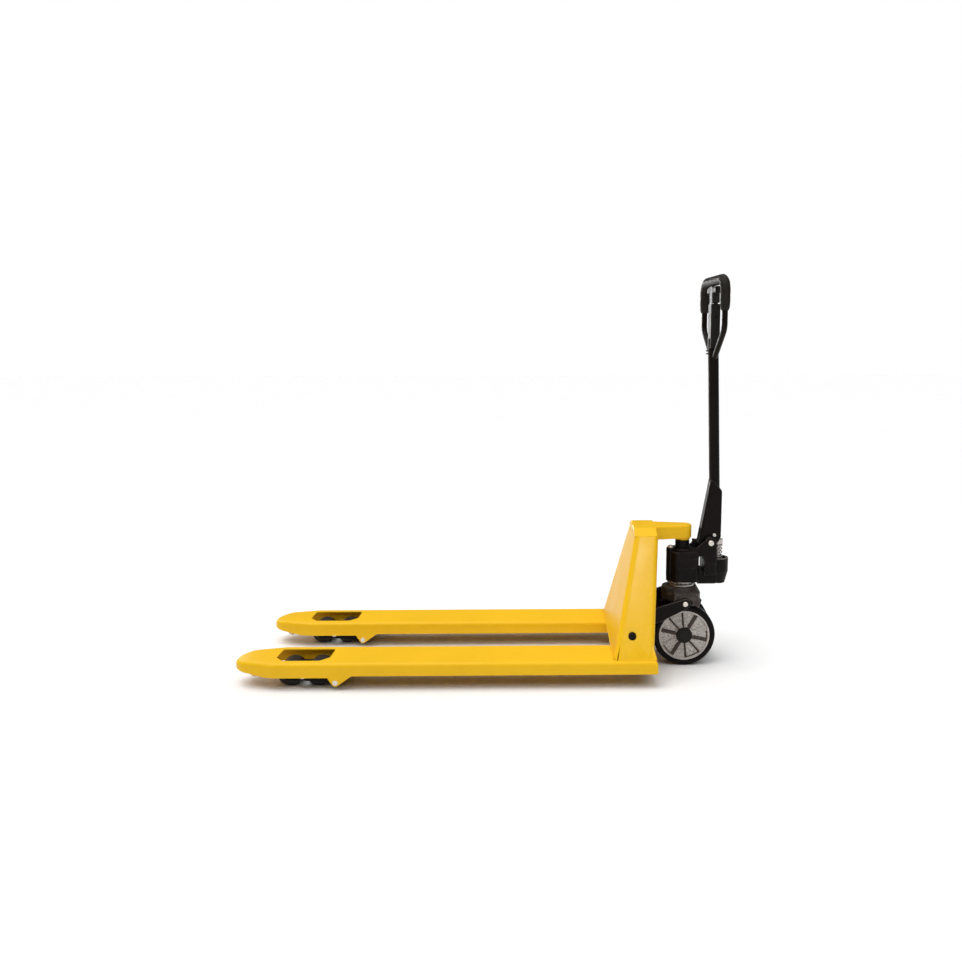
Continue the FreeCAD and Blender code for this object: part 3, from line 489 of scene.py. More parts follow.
def rounded(points, r, closed=True, steps=3):
    """An outline of 2-D points with each corner turned by a small arc; a point may give its own radius."""
    out = []
    count = len(points)
    for i, point in enumerate(points):
        if not closed and i in (0, count - 1):
            out.append(Vector(point[:2]))
            continue
        here = Vector(point[:2])
        before, after = Vector(points[i - 1][:2]), Vector(points[(i + 1) % count][:2])
        u, w = (before - here), (after - here)
        radius = point[2] if len(point) > 2 else r
        half = u.angle(w, pi) / 2
        if radius <= 0 or half > 1.53:
            out.append(here)
            continue
        back = min(radius * cos(half) / sin(half), 0.45 * u.length, 0.45 * w.length)
        a, b = here + u.normalized() * back, here + w.normalized() * back
        for k in range(steps + 1):
            t = k / steps
            out.append(a * (1 - t) ** 2 + here * 2 * t * (1 - t) + b * t * t)
    return out


def lathe(bm, outline, at, side=1, segments=96, index=0, closed=True):
    """Turns an outline of (radius, y) millimetres about an axle along Y through the point at."""
    rings = []
    for r, y in outline:
        ring = []
        count = segments if r > 1e-6 else 1
        for k in range(count):
            a = 2 * pi * k / segments
            spot = (at[0] + r * MM * cos(a), at[1] + side * y * MM, at[2] + r * MM * sin(a))
            ring.append(bm.verts.new(spot))
        rings.append(ring)
    pairs = list(zip(rings, rings[1:]))
    if closed:
        pairs.append((rings[-1], rings[0]))
    faces = []
    for one, two in pairs:
        for k in range(segments):
            a, b = one[k % len(one)], one[(k + 1) % segments % len(one)]
            c, d = two[(k + 1) % segments % len(two)], two[k % len(two)]
            corners = list(dict.fromkeys((a, b, c, d)))
            if len(corners) > 2:
                face = bm.faces.new(corners)
                face.material_index = index
                faces.append(face)
    return faces


def sweep(bm, points, radii, sides, closed=False):
    """A round bar along points, with its radius at each of them."""
    count = len(points)
    tangents = []
    for i in range(count):
        before = points[(i - 1) % count] if closed or i > 0 else points[i]
        after = points[(i + 1) % count] if closed or i < count - 1 else points[i]
        tangents.append((after - before).normalized())
    across = tangents[0].orthogonal().normalized()
    rings = []
    for point, tangent, radius in zip(points, tangents, radii):
        across = (across - tangent * across.dot(tangent)).normalized()
        other = tangent.cross(across)
        ring = []
        for k in range(sides):
            a = 2 * pi * k / sides
            ring.append(bm.verts.new(point + (across * cos(a) + other * sin(a)) * radius))
        rings.append(ring)
    pairs = list(zip(rings, rings[1:])) + ([(rings[-1], rings[0])] if closed else [])
    for one, two in pairs:
        for k in range(sides):
            bm.faces.new((one[k], one[(k + 1) % sides], two[(k + 1) % sides], two[k]))
    if not closed:
        for ring in (rings[0][::-1], rings[-1]):
            bm.faces.new(ring)


def recalculated(bm):
    bmesh.ops.recalc_face_normals(bm, faces=bm.faces)
    return bm


def line(a, b, count):
    a, b = Vector(a), Vector(b)
    return [a.lerp(b, i / (count - 1)) for i in range(count)]


def circle_path(centre, r, axis, count, start=0.0, turn=2 * pi):
    centre, axis = Vector(centre), Vector(axis).normalized()
    u = axis.orthogonal().normalized()
    w = axis.cross(u)
    return [centre + (u * cos(start + turn * i / count) + w * sin(start + turn * i / count)) * r
            for i in range(count)]


WELD_PITCH = 2.6 * MM     # from one ripple to the next
WELD_SIDES = 8
RIPPLE = 0.10             # share of the bead's radius


def weld(bm, path, r, closed=False, seed=0.0):
    """A bead laid as overlapping ripples, a little uneven in width."""
    lengths = [0.0]
    for a, b in zip(path, path[1:] + ([path[0]] if closed else [])):
        lengths.append(lengths[-1] + (b - a).length)
    points, radii = [], []
    total = lengths[-1]
    count = max(8, int(total / (WELD_PITCH / 4)))
    for i in range(count):
        s = total * i / (count if closed else count - 1)
        k = max(j for j in range(len(lengths)) if lengths[j] <= s + 1e-9)
        k = min(k, len(path) - (1 if closed else 2))
        nxt = path[(k + 1) % len(path)]
        t = (s - lengths[k]) / max(1e-9, lengths[k + 1] - lengths[k])
        point = path[k].lerp(nxt, min(1.0, t))
        uneven = noise.noise(point * 90 + Vector((seed, 0, 0)))
        ripple = 1 + RIPPLE * abs(sin(pi * s / WELD_PITCH)) + RIPPLE * uneven
        taper = 1.0 if closed else min(1.0, 0.45 + min(s, total - s) / (3 * r))
        points.append(point)
        radii.append(r * ripple * taper)
    sweep(bm, points, radii, WELD_SIDES, closed=closed)


def welds(name, body, slot, beads):
    """All the beads on one body, each (path, radius, closed)."""
    bm = bmesh.new()
    for i, (path, r, closed) in enumerate(beads):
        weld(bm, path, r, closed, seed=7.3 * i)
    return settle(add_object(name, recalculated(bm), MATERIALS[slot], 60.0), body, slot)


def hexagon(bm, at, axis, across, height):
    """A bolt head or nut with its corners turned off, standing on the point at along the axis."""
    at, axis = Vector(at), Vector(axis).normalized()
    r = across / 2 / cos(pi / 6)
    levels = ((0.0, r), (0.84, r), (1.0, r * 0.90), (1.0, r * 0.5), (0.92, r * 0.44), (0.92, 0.0))
    rings = []
    for share, radius in levels:
        path = circle_path(at + axis * height * share, max(radius, 1e-6), axis, 6)
        rings.append([bm.verts.new(p) for p in path])
    for one, two in zip(rings, rings[1:]):
        for k in range(6):
            bm.faces.new((one[k], one[(k + 1) % 6], two[(k + 1) % 6], two[k]))
    bm.faces.new(rings[0][::-1])
    bmesh.ops.remove_doubles(bm, verts=rings[-1], dist=1e-5)


def disc(bm, at, axis, outline, segments):
    """Turns an outline of (radius, height) millimetres about an axis through the point at."""
    turn = Vector((0, 1, 0)).rotation_difference(Vector(axis).normalized()).to_matrix().to_4x4()
    faces = lathe(bm, outline, (0.0, 0.0, 0.0), 1, segments, closed=False)
    for vert in {vert for face in faces for vert in face.verts}:
        vert.co = Vector(at) + turn @ vert.co


# ---- camera, floor and light ----

LENS, SENSOR = 32.38, 36.0
SHIFT = (-0.0837, -0.0016)
EYE = (0.1952, -2.7572, 1.0143)
EYE_TURN = (81.417, 0.117, -0.709)


def camera():
    data = bpy.data.cameras.new("camera")
    data.lens = LENS
    data.sensor_width = SENSOR
    data.shift_x, data.shift_y = SHIFT
    eye = bpy.data.objects.new("camera", data)
    eye.location = EYE
    eye.rotation_euler = tuple(radians(angle) for angle in EYE_TURN)
    bpy.context.scene.collection.objects.link(eye)
    bpy.context.scene.camera = eye


FLOOR_WHITE = (0.965, 0.965, 0.965)
FLOOR_DROP = 0.4 * MM     # under the wheels


def floor():
    bm = bmesh.new()
    bmesh.ops.create_grid(bm, x_segments=8, y_segments=8, size=30.0)
    ground = add_object("floor", bm, finish_of("pale_floor", FLOOR_WHITE, 0.004, 0.8, 0.7,
                                               grain=(60.0, 0.02, 0.001), specular=0.05))
    ground.location.z = -FLOOR_DROP


def area_light(name, at, aim, size, power, spread):
    data = bpy.data.lights.new(name, "AREA")
    data.shape = "RECTANGLE"
    data.size, data.size_y = size
    data.energy = power
    data.spread = radians(spread)
    lamp = bpy.data.objects.new(name, data)
    lamp.location = at
    lamp.rotation_euler = (Vector(aim) - Vector(at)).to_track_quat("-Z", "Y").to_euler()
    lamp.visible_camera = False
    bpy.context.scene.collection.objects.link(lamp)


SKY = 0.95
SKY_DIM, SKY_FULL = (0.35, 0.05), (0.80, 1.0)     # height on the sky, and its share of the light


def sky():
    """Plain white where it is seen directly; as light it is dim near the horizon and bright overhead."""
    world = bpy.data.worlds.new("studio")
    bpy.context.scene.world = world
    world.use_nodes = True
    tree = world.node_tree
    seen = tree.nodes["Background"]
    seen.inputs["Color"].default_value = (1.0, 1.0, 1.0, 1.0)
    light = node(tree, "ShaderNodeBackground")
    light.inputs["Strength"].default_value = SKY
    height = node(tree, "ShaderNodeSeparateXYZ")
    tree.links.new(node(tree, "ShaderNodeTexCoord").outputs["Generated"], height.inputs[0])
    tree.links.new(grey_ramp(tree, height.outputs["Z"], [SKY_DIM, SKY_FULL]), light.inputs["Color"])
    mix = node(tree, "ShaderNodeMixShader")
    tree.links.new(node(tree, "ShaderNodeLightPath").outputs["Is Camera Ray"], mix.inputs[0])
    tree.links.new(light.outputs[0], mix.inputs[1])
    tree.links.new(seen.outputs[0], mix.inputs[2])
    tree.links.new(mix.outputs[0], tree.nodes["World Output"].inputs["Surface"])


SUN, SUN_SIZE = 1.47, 50.0
SUN_COURSE = (0.30, 0.14, -0.94)
LAMPS = (                 # name, place, what it points at, size, watts, spread in degrees
    ("panel", (0.69, -1.94, 1.77), (0.47, -0.13, 0.38), (0.30, 0.45), 4.5, 180.0),
    ("strip_left", (-1.9, 1.6, 0.9), (0.7, 0.0, 0.7), (0.5, 2.2), 9.0, 180.0),
    ("strip_handle", (-0.2, 1.6, 1.05), (0.71, 0.0, 0.95), (0.25, 1.0), 1.2, 45.0),
)


def studio():
    bpy.context.scene.view_settings.view_transform = "Standard"
    sky()
    sun = bpy.data.lights.new("sun", "SUN")
    sun.energy = SUN
    sun.angle = radians(SUN_SIZE)
    lamp = bpy.data.objects.new("sun", sun)
    lamp.rotation_euler = Vector(SUN_COURSE).to_track_quat("-Z", "Y").to_euler()
    bpy.context.scene.collection.objects.link(lamp)
    for settings in LAMPS:
        area_light(*settings)


camera()
floor()
studio()

# ---- parts taken from the CAD with their edges rounded ----

FOLD_LINE = 17.0 * MM     # how far the load face reaches round the fold


def on_fold(edge):
    """The line where the load face goes on as the side plates: one folded sheet, with no seam to see."""
    low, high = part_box("load_face")
    slope = (high.x - low.x - FOLD_LINE) / (high.z - low.z)
    return all(abs(v.co.x - low.x - FOLD_LINE - slope * (v.co.z - low.z)) < 0.2 * MM for v in edge.verts)


def on_draw_bar(edge):
    """The line where the handle's bracket fits round the draw bar."""
    foot = place("handle_tilt")
    low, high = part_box("handle_tube")
    r = (high.y - low.y) / 2
    axis = Vector(JOINT["release_linkage_pull"]["axis"])
    base = Vector((high.x - r, 0, foot.z))
    return all(abs((v.co - base).cross(axis).length - r) < 0.8 * MM for v in edge.verts)


EDGE_WIDTHS = {
    "fork_left": 0.7, "fork_right": 0.7, "fork_stiffeners": 0.6, "entry_roller_tabs": 0.8,
    "load_face": 0.8, "side_plate_left": 0.9, "side_plate_right": 0.9, "cross_member": 0.8,
    "head_beam": 1.2, "ram_socket": 0.6, "lift_ram": 0.6, "wheel_frame_left": 0.8, "wheel_frame_right": 0.8,
    "wheel_frame_pins_left": 0.8, "wheel_frame_pins_right": 0.8, "bogie_plates_left": 0.7,
    "bogie_plates_right": 0.7, "push_rod_left": 0.7, "push_rod_right": 0.7, "torsion_tube": 0.8,
    "rocker_levers": 1.5, "thrust_race": 0.4, "oil_plug": 0.6, "ram_gland": 0.5, "thrust_bearing": 0.4,
    "plunger": 0.5, "release_arm": 0.9, "handle_base": 0.9, "handle_tube": 0.5, "control_housing": 0.5,
    "pump_roller": 0.8, "release_lever": 0.5,
}
LEFT_SHARP = {"load_face": on_fold, "side_plate_left": on_fold, "side_plate_right": on_fold,
              "handle_base": on_draw_bar}
RESHAPED = {"handle_base": fold_rounded, "release_arm": arm_clear}
for name, width in EDGE_WIDTHS.items():
    edge_rounded(name, width * MM, sharp=LEFT_SHARP.get(name), reshape=RESHAPED.get(name))

for name in ("fork_shafts", "rocker_pins", "steering_axle", "pump_roller_pin", "roller_axles_left",
             "roller_axles_right"):
    turned_pins(name, 0.9)
turned_pins("rocker_shafts", 1.6)
turned_pins("handle_pivot_pin", 1.2, 0.8)

# ---- castings ----

CUP_X = place("handle_tilt").x / MM + 31.0
CUP_TOP = 340.0
PADS = (((604.0, 662.0), (54.0, 57.6), (271.0, 316.0)), ((602.0, 664.0), (54.0, 57.0), (344.0, 350.0)),
        ((700.0, 722.0), (45.0, 48.6), (296.0, 334.0)))


def pump_blocks():
    """Machined pads and a rib proud of the pump's two flanks."""
    return [(x, sorted(side * y for y in flank), z) for side in (-1, 1) for x, flank, z in PADS]


cast("pump_body", 1.25 * MM, 0.45, pump_blocks())
cast("yoke", 1.2 * MM, 0.5)


def cup_rim():
    """The worn lip of the plunger cup, bright where it was machined."""
    bm = bmesh.new()
    lip = rounded([(26.9, -1.5), (26.9, 0.5), (33.6, 0.5), (33.6, -1.5)], 0.5)
    disc(bm, (CUP_X * MM, 0.0, CUP_TOP * MM), (0, 0, 1), lip + lip[:1], 96)
    bmesh.ops.remove_doubles(bm, verts=bm.verts, dist=1e-7)
    return settle(add_object("cup_rim", recalculated(bm), WORN_RIM), "steering", "bearing_steel")


cup_rim()

# ---- steering wheels ----

HUB = place("steer_wheel_left_spin")
HUB.y = 0.0
WIDE_RIB, THIN_RIB = 6.2, 3.0     # half of a rib's width
RIBS = (                          # degrees round the wheel, half width, painted dark as shade or not
    (59, WIDE_RIB, True), (-13, WIDE_RIB, True), (167, WIDE_RIB, True), (239, WIDE_RIB, True),
    (95, THIN_RIB, True), (131, THIN_RIB, True), (-49, THIN_RIB, True), (-85, THIN_RIB, True),
    (23, THIN_RIB, False), (203, THIN_RIB, False),
)
STEPS = ((-13, 10), (-83, -51), (205, 237))       # degrees of the rim with a dark step inside it, painted as the shadow of the rim's inner edge
CAST_SKIN, TURNED_SKIN, SHADE_SKIN = 0, 1, 2       # the rim's materials; the last is painted shade
WHEEL_SIDES = 144


def turned_about(at, angle):
    return Matrix.Translation(at) @ Matrix.Rotation(-angle, 4, "Y")


def skinned(bm, rings, index):
    """Closes a row of equal rings of corners into one solid."""
    count = len(rings[0])
    for one, two in zip(rings, rings[1:]):
        for k in range(count):
            bm.faces.new((one[k], one[(k + 1) % count], two[(k + 1) % count], two[k])).material_index = index
    for ring in (rings[0][::-1], rings[-1]):
        bm.faces.new(ring).material_index = index


def rib(bm, angle, half, side, y0, y1, index):
    """A straight rib from hub to rim, narrower at its crest, rounded along its edges."""
    crest = half * 0.72
    section = [(-half - 1.2, y0), (-half, y0 + 1.2), (-crest - 0.3, y1 - 0.5), (-crest + 0.5, y1),
               (crest - 0.5, y1), (crest + 0.3, y1 - 0.5), (half, y0 + 1.2), (half + 1.2, y0)]
    turn = turned_about(HUB, angle)
    rings = []
    for r, grow in ((25.0, 1.25), (34.0, 1.0), (62.0, 0.95), (73.5, 1.1), (76.5, 1.3)):
        corners = [(r * MM, side * y * MM, z * grow * MM) for z, y in section]
        rings.append([bm.verts.new(turn @ Vector(corner)) for corner in corners])
    skinned(bm, rings, index)


def rim_shadow_step(bm, start, stop, side, y0, y1, index):
    """A short raised step along the inside of the rim, coloured dark as painted shadow of the rim's inner
    edge.
    """
    count = max(4, int((stop - start) / 3))
    rings = []
    for i in range(count + 1):
        turn = turned_about(HUB, radians(start + (stop - start) * i / count))
        corners = ((71.2, y0), (71.6, y1), (74.0, y1 + 0.5), (75.5, y0))
        rings.append([bm.verts.new(turn @ Vector((r * MM, side * y * MM, 0.0))) for r, y in corners])
    skinned(bm, rings, index)


def wheel_rim(name, side, y0, y1):
    """The cast disc with its hub, ribs and steps, its rim turned bright on the outside; its dark ribs and
    steps are painted shade.
    """
    bm = bmesh.new()
    section = rounded([(10.1, y0 + 1), (29, y0 + 1), (32, y0 + 10), (70, y0 + 10), (76, y0 + 2), (82, y0 + 2),
                       (82, y1 - 1.5), (78.5, y1 - 1.2), (76.5, y1 - 2.0), (75, y1 - 6.6), (72, y1 - 8),
                       (33, y1 - 8), (29.5, y1 - 4.5), (10.1, y1 - 4.5)], 1.2)
    lathe(bm, section, HUB, side, WHEEL_SIDES)
    for face in bm.faces:
        centre = face.calc_center_median()
        if hypot(centre.x - HUB.x, centre.z - HUB.z) / MM > 76.0 and abs(centre.y) / MM > y1 - 3:
            face.material_index = TURNED_SKIN
    for angle, half, dark in RIBS:
        rib(bm, radians(angle), half, side, y1 - 9.0, y1 - 4.2, SHADE_SKIN if dark else CAST_SKIN)
        rib(bm, radians(angle), THIN_RIB, side, y0 + 11.0, y0 + 5.0, CAST_SKIN)
    # the dark steps inside the rim are painted shadow
    for start, stop in STEPS:
        rim_shadow_step(bm, start, stop, side, y1 - 8.6, y1 - 6.4, SHADE_SKIN)
    skins = [MATERIALS["wheel_aluminium"], POLISHED, RIB_SHADE]
    stand_for(add_object("wheel_rim_%s_cast" % name, recalculated(bm), skins), "wheel_rim_" + name)


def wheel_tyre(name, side, y0, y1):
    bm = bmesh.new()
    section = rounded([(81.8, y0 + 2.0), (84.0, y0 + 1.0), (92.0, y0 + 0.6, 4.0), (98.0, y0 + 2.6, 5.0),
                       (100.0, y0 + 9.0, 6.0), (100.0, y1 - 9.0, 6.0), (98.0, y1 - 2.6, 5.0),
                       (92.0, y1 - 0.4, 4.0), (84.5, y1 - 0.9), (83.6, y1 - 1.6), (81.8, y1 - 1.6)], 0.6)
    lathe(bm, section, HUB, side, WHEEL_SIDES)
    stand_for(add_object("wheel_tyre_%s_moulded" % name, recalculated(bm), MATERIALS["wheel_tread"]),
              "wheel_tyre_" + name)


def hub_cap(name, side, y1):
    """The plastic cap over the hub, with a ring of six small studs."""
    bm = bmesh.new()
    section = rounded([(0.0, y1 - 2.6), (10.2, y1 - 2.6), (10.2, y1 - 4.2), (26.0, y1 - 4.2),
                       (26.0, y1 - 1.4, 1.6), (23.2, y1 + 0.6, 1.2), (20.4, y1 + 0.7), (19.6, y1 - 0.1),
                       (17.6, y1 - 0.1), (16.4, y1 + 1.1), (0.0, y1 + 1.9)], 0.6, closed=False)
    lathe(bm, section, HUB, side, 96, closed=False)
    stud = [(0.0, -0.4), (1.5, -0.4), (1.5, 0.4), (1.0, 0.8), (0.0, 0.8)]
    for k in range(6):
        spot = turned_about(HUB, 2 * pi * k / 6) @ Vector((18.6 * MM, side * (y1 - 0.4) * MM, 0.0))
        disc(bm, spot, (0, side, 0), stud, 16)
    stand_for(add_object("hub_cap_%s_moulded" % name, recalculated(bm), MATERIALS["hub_plastic"]),
              "hub_cap_" + name)


for name, side in SIDES:
    tyre_low, tyre_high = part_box("wheel_tyre_" + name)
    inner, outer = sorted((abs(tyre_low.y) / MM, abs(tyre_high.y) / MM))
    wheel_rim(name, side, inner, outer)
    wheel_tyre(name, side, inner, outer)
    hub_cap(name, side, outer)

# ---- load rollers and entry rollers ----

def roller_size(name):
    """A roller's middle, and its radius and half length in millimetres."""
    low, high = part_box(name)
    return (low + high) / 2, (high.z - low.z) / 2 / MM, (high.y - low.y) / 2 / MM


def load_roller(name):
    """A hard tread on a grey core, with the ball bearings' steel shields in its ends."""
    at, r, half = roller_size(name)
    bm = bmesh.new()
    for side in (-1, 1):
        tread = rounded([(30.0, 0.0), (30.0, half - 1.8), (36.0, half - 1.3, 1.5), (r, half - 3.6, 3.5),
                         (r, 0.0)], 0.6, closed=False)
        lathe(bm, tread, at, side, 96, 0, closed=False)
        core = rounded([(30.2, 0.0), (30.2, half - 3.0), (24.6, half - 2.6), (23.8, half - 4.4),
                        (18.2, half - 4.4), (17.6, half - 2.4), (16.6, half - 2.4), (16.6, 0.0)],
                       0.5, closed=False)
        lathe(bm, core, at, side, 72, 1, closed=False)
        shield = rounded([(16.7, 0.0), (16.7, half - 1.2), (14.0, half - 1.2), (13.4, half - 1.9),
                          (11.9, half - 1.9), (11.5, half - 0.1), (10.06, half - 0.1), (10.06, 0.0)],
                         0.3, closed=False)
        lathe(bm, shield, at, side, 64, 2, closed=False)
    bmesh.ops.remove_doubles(bm, verts=bm.verts, dist=1e-6)
    skins = [MATERIALS["roller_tread"], CORE_GREY, MATERIALS["bearing_steel"]]
    stand_for(add_object(name + "_moulded", recalculated(bm), skins), name)


def entry_roller(name):
    at, r, half = roller_size(name)
    bm = bmesh.new()
    for side in (-1, 1):
        outline = rounded([(5.1, 0.0), (5.1, half), (8.0, half), (8.6, half - 1.2),
                           (r - 1.6, half - 1.2, 1.4), (r, half - 3.2, 1.6), (r, 1.2), (r - 0.5, 0.7),
                           (r - 0.5, 0.0)], 0.4, closed=False)
        lathe(bm, outline, at, side, 64, closed=False)
    bmesh.ops.remove_doubles(bm, verts=bm.verts, dist=1e-6)
    stand_for(add_object(name + "_moulded", recalculated(bm), MATERIALS["entry_nylon"]), name)


for name, side in SIDES:
    load_roller("load_roller_front_" + name)
    load_roller("load_roller_rear_" + name)
    entry_roller("entry_roller_" + name)

# ---- handle end ----

LEVER = place("release_lever_rock")
ACROSS = Vector(JOINT["release_lever_rock"]["axis"]).normalized()
UP = Vector((0, 0, 1))
LOOP_HALF, LOOP_BEND, GRIP_R = 110.0 * MM, 36.0 * MM, 15.5 * MM
GRIP_TAPER = 22.0         # millimetres over which each end of the sleeve thins down to the tube
GRIP_THINNING = 0.27
GRIP_WAVE, GRIP_PITCH = 0.012, 26.0
LEG_STEPS, BEND_STEPS, TOP_STEPS = 40, 14, 46


def grip_path(low, top):
    """Up one leg of the loop, across its top and down the other leg."""
    centre = Vector((LEVER.x, 0.0, 0.0))
    near, far = centre + ACROSS * LOOP_HALF, centre - ACROSS * LOOP_HALF
    path = line(near + UP * low, near + UP * (top - LOOP_BEND), LEG_STEPS)
    for side in (1, -1):
        hinge = centre + ACROSS * side * (LOOP_HALF - LOOP_BEND) + UP * (top - LOOP_BEND)
        bend = [hinge + (ACROSS * side * cos(a) + UP * sin(a)) * LOOP_BEND
                for a in [pi / 2 * i / BEND_STEPS for i in range(BEND_STEPS + 1)]]
        path += bend[1:] if side == 1 else bend[::-1]
        if side == 1:
            corner = hinge - ACROSS * 2 * (LOOP_HALF - LOOP_BEND) + UP * LOOP_BEND
            path += line(path[-1], corner, TOP_STEPS)[1:-1]
    return path + line(path[-1], far + UP * low, LEG_STEPS)[1:]


def grip():
    """The moulded rubber sleeve over the loop, faintly waved, thinning down to the tube at each end."""
    low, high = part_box("handle_grip")
    path = grip_path(low.z, high.z - GRIP_R)
    travelled = [0.0]
    for a, b in zip(path, path[1:]):
        travelled.append(travelled[-1] + (b - a).length)
    total = travelled[-1]
    radii = []
    for s in travelled:
        end = min(s, total - s) / MM
        swell = 0.985 + GRIP_WAVE * sin(2 * pi * end / GRIP_PITCH)
        thinner = GRIP_THINNING * (1 - end / GRIP_TAPER) ** 2 if end <= GRIP_TAPER else 0.0
        radii.append(GRIP_R * (swell - thinner))
    bm = bmesh.new()
    sweep(bm, path, radii, 32)
    stand_for(add_object("handle_grip_moulded", recalculated(bm), MATERIALS["grip_rubber"], 50.0),
              "handle_grip")


grip()

SCREW_HEIGHTS = (1.062, 1.112)
HOUSING_SIDE = 19.0 * MM  # from the middle of the control housing to its broad side


def housing_screws():
    """Countersunk screws that close the control housing, on both of its broad sides."""
    bm = bmesh.new()
    head = [(0.0, -0.8), (2.9, -0.8), (2.9, 0.35), (2.4, 0.75), (1.1, 0.75), (1.0, 0.1), (0.0, 0.1)]
    for side in (-1, 1):
        for z in SCREW_HEIGHTS:
            disc(bm, Vector((LEVER.x, 0, z)) + ACROSS * side * HOUSING_SIDE, ACROSS * side, head, 24)
    settle(add_object("housing_screws", recalculated(bm), MATERIALS["black_oxide"]), "handle", "black_oxide")


housing_screws()

# ---- plunger spring ----

SPRING_R, WIRE_R = 13.2, 1.9
TURNS, CLOSED_TURNS, TURN_STEPS = 7.0, 1.1, 36
WIRE_SIDES = 14


def spring():
    """A wound spring with its last turns closed up at both ends."""
    low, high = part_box("plunger_spring")
    z0, z1 = low.z + WIRE_R * MM, high.z - WIRE_R * MM
    flat = 2 * WIRE_R * MM * 1.02
    rise = (z1 - z0 - 2 * flat * CLOSED_TURNS) / (TURNS - 2 * CLOSED_TURNS)
    points = []
    for i in range(int(TURNS * TURN_STEPS) + 1):
        t = i / TURN_STEPS
        if t < CLOSED_TURNS:
            z = z0 + flat * t
        elif t > TURNS - CLOSED_TURNS:
            z = z1 - flat * (TURNS - t)
        else:
            z = z0 + flat * CLOSED_TURNS + rise * (t - CLOSED_TURNS)
        a = 2 * pi * t
        points.append(Vector((CUP_X * MM + SPRING_R * MM * cos(a), SPRING_R * MM * sin(a), z)))
    bm = bmesh.new()
    sweep(bm, points, [WIRE_R * MM] * len(points), WIRE_SIDES)
    piece = add_object("plunger_spring_wound", recalculated(bm), MATERIALS["spring_steel"], 60.0)
    stand_for(piece, "plunger_spring")
    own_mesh(piece)


spring()

# ---- welds ----

FORK_TOP = 85.0 * MM
FOOT_HALF, FOOT_END = 0.246, 0.508
FORK_MIDDLE, RIB_BEAD = 195.0, 54.6               # millimetres from the truck's middle, and from the fork's
STITCHES, STITCH, STITCH_MARGIN = 6, 40 * MM, 20 * MM
ARM_BEADS = (94.4, 107.6, 178.0, 212.0)           # millimetres from the truck's middle
DRAW_BAR_RINGS, BRACKET_BEAD = (0.9985, 1.0075), (0.530, 0.566)


def upright_welds():
    """The fillets at the upright's foot and round the lift ram's socket."""
    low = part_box("load_face")[0]
    foot = low.x + 1.0 * MM
    beads = [([Vector((foot, -FOOT_HALF, FORK_TOP)), Vector((foot, FOOT_HALF, FORK_TOP))], 2.3 * MM, False)]
    for name, side in SIDES:
        side_low, side_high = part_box("side_plate_" + name)
        edge = max(abs(side_low.y), abs(side_high.y)) * side
        ends = [Vector((x, edge, FORK_TOP)) for x in (low.x + 16.0 * MM, FOOT_END)]
        beads.append((ends, 2.2 * MM, False))
    ram_low, ram_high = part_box("ram_socket")
    ring = circle_path(((ram_low.x + ram_high.x) / 2, 0, ram_high.z - 0.4 * MM), 24.2 * MM, (0, 0, 1), 48)
    beads.append((ring, 2.0 * MM, True))
    return welds("upright_welds", "chassis", "yellow_paint", beads)


def fork_welds():
    """Stitches along the stiffeners under each fork."""
    beads = []
    low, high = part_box("fork_stiffeners")
    for side in (-1, 1):
        for v in (-1, 1):
            y = (side * FORK_MIDDLE + v * RIB_BEAD) * MM
            for i in range(STITCHES):
                x = low.x + STITCH_MARGIN + (high.x - low.x - 2 * STITCH) * i / (STITCHES - 1)
                beads.append(([Vector((x, y, high.z)), Vector((x + STITCH, y, high.z))], 1.8 * MM, False))
    return welds("stiffener_welds", "chassis", "yellow_paint", beads)


def rocker_welds():
    """Rings round the torsion tube at each arm and lever."""
    axis = place("rocker_swing")
    beads = []
    for side in (-1, 1):
        for y in ARM_BEADS:
            ring = circle_path((axis.x, side * y * MM, axis.z), 25.6 * MM, (0, 1, 0), 40)
            beads.append((ring, 2.0 * MM, True))
    return welds("rocker_welds", "rocker", "black_paint", beads)


def frame_welds(name):
    """Rings where the wheel frame's cheeks meet its cross tube, and at both ends of the push rod's bar."""
    pivot = place("wheel_frame_%s_swing" % name)
    places = [(pivot.x, pivot.y + v * 43.4 * MM, pivot.z) for v in (-1, 1)]
    beads = [(circle_path(at, 14.4 * MM, (0, 1, 0), 32), 1.8 * MM, True) for at in places]
    welds("wheel_frame_welds_" + name, "wheel_frame_" + name, "black_paint", beads)
    eye = place("push_rod_%s_level" % name)
    rod_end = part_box("push_rod_" + name)[1]
    beads = [(circle_path((x, eye.y, eye.z), 11.2 * MM, (1, 0, 0), 28), 1.7 * MM, True)
             for x in (eye.x + 44.0 * MM, rod_end.x - 57.5 * MM)]
    welds("push_rod_welds_" + name, "push_rod_" + name, "black_paint", beads)


def handle_welds():
    """Beads where the loop's legs and the bracket's web meet the draw bar."""
    bar = Vector(JOINT["release_linkage_pull"]["axis"]).normalized()
    low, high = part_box("handle_tube")
    r = (high.y - low.y) / 2
    foot = Vector((high.x - r, 0.0, place("handle_tilt").z))
    beads = []
    for z in DRAW_BAR_RINGS:
        centre = foot + bar * ((z - foot.z) / bar.z)
        for side in (-1, 1):
            arc = circle_path(centre, r + 0.4 * MM, bar, 22, 0.0, 1.9)
            turned = [centre + Matrix.Rotation(pi / 2 * side - 0.95, 3, bar) @ (p - centre) for p in arc]
            beads.append((turned, 1.9 * MM, False))
    for side in (-1, 1):
        start, stop = (foot + bar * ((z - foot.z) / bar.z) for z in BRACKET_BEAD)
        out = Vector((0.0, side * 14.2 * MM, 0.0)) + Vector((9.8 * MM, 0, 0))
        beads.append(([start + out, stop + out], 2.0 * MM, False))
    return welds("handle_welds", "handle", "black_paint", beads)


upright_welds()
fork_welds()
rocker_welds()
handle_welds()
for name, side in SIDES:
    frame_welds(name)

# ---- small fittings ----


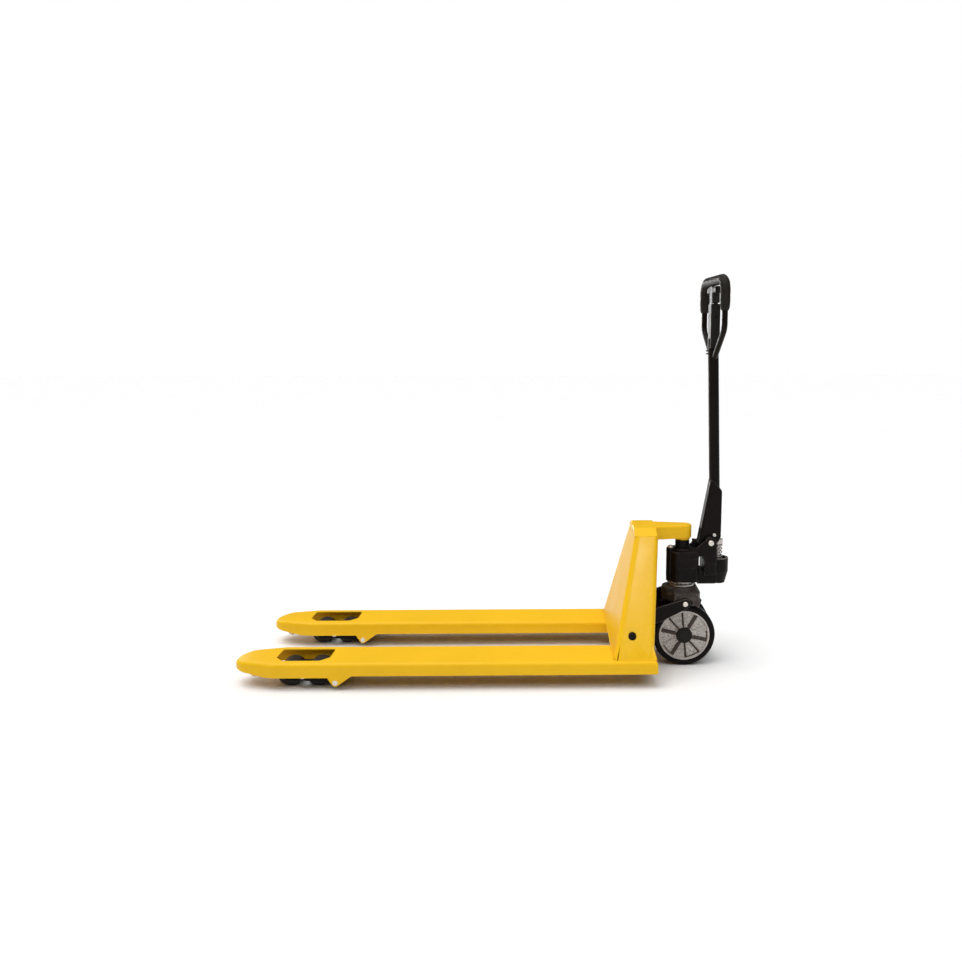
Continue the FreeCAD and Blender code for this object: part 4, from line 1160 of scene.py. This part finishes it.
def circlips():
    """Snap rings in the grooves at the handle's pivot."""
    pivot = place("handle_tilt")
    low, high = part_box("handle_pivot_pin")
    gap = radians(34)
    bm = bmesh.new()
    for side, end in ((-1, low.y), (1, high.y)):
        centre = (pivot.x, end - side * 4.6 * MM, pivot.z)
        path = circle_path(centre, 9.6 * MM, (0, 1, 0), 44, gap / 2, 2 * pi - gap)
        sweep(bm, path, [0.75 * MM] * len(path), 8)
    settle(add_object("pivot_circlips", recalculated(bm), MATERIALS["spring_steel"]),
           "steering", "spring_steel")


def nipples():
    """Grease nipples on the torsion tube."""
    axis = place("rocker_swing")
    outline = [(0.0, 0.0), (3.6, 0.0), (3.6, 2.4), (2.2, 3.0), (2.0, 4.6), (2.9, 5.4), (2.9, 6.4), (1.3, 7.6),
               (0.0, 7.6)]
    bm = bmesh.new()
    for side in (-1, 1):
        disc(bm, (axis.x, side * 150.0 * MM, axis.z + 24.8 * MM), (0, 0, 1), outline, 24)
    settle(add_object("grease_nipples", recalculated(bm), MATERIALS["zinc_steel"]), "rocker", "zinc_steel")


PLUG_FACE = 57.2 * MM     # from the middle to the pad on the pump's right flank
PLUGS = ((622.0, 292.0, 17.0), (648.0, 332.0, 14.0))      # x, z and width across flats


def valve_plugs():
    """The hexagon plugs over the pump's valves, each on a turned collar."""
    bm = bmesh.new()
    for x, z, across in PLUGS:
        collar = across * 0.66
        outline = [(0.0, 0.0), (collar, 0.0), (collar, 1.0), (across * 0.56, 1.5), (0.0, 1.5)]
        disc(bm, (x * MM, PLUG_FACE, z * MM), (0, 1, 0), outline, 36)
        hexagon(bm, (x * MM, PLUG_FACE + 1.4 * MM, z * MM), (0, 1, 0), across * MM, 6.0 * MM)
    settle(add_object("valve_plugs", recalculated(bm), MATERIALS["zinc_steel"], 25.0),
           "steering", "zinc_steel")


LOCK_NUT = (657.0 * MM, -12.0 * MM, 398.6 * MM)


def lock_nut():
    """The nut that locks the release arm's adjusting screw."""
    bm = bmesh.new()
    hexagon(bm, LOCK_NUT, (0, 0, 1), 10.0 * MM, 3.4 * MM)
    settle(add_object("release_lock_nut", recalculated(bm), MATERIALS["zinc_steel"], 25.0),
           "release_arm", "zinc_steel")


circlips()
nipples()
valve_plugs()
lock_nut()

# ---- the CAD nodes that show as they are ----

for name, carried in frame["nodes"].items():
    if not carried.hide_render:
        carried.data.materials.clear()
        carried.data.materials.append(MATERIALS[SLOT[name]])
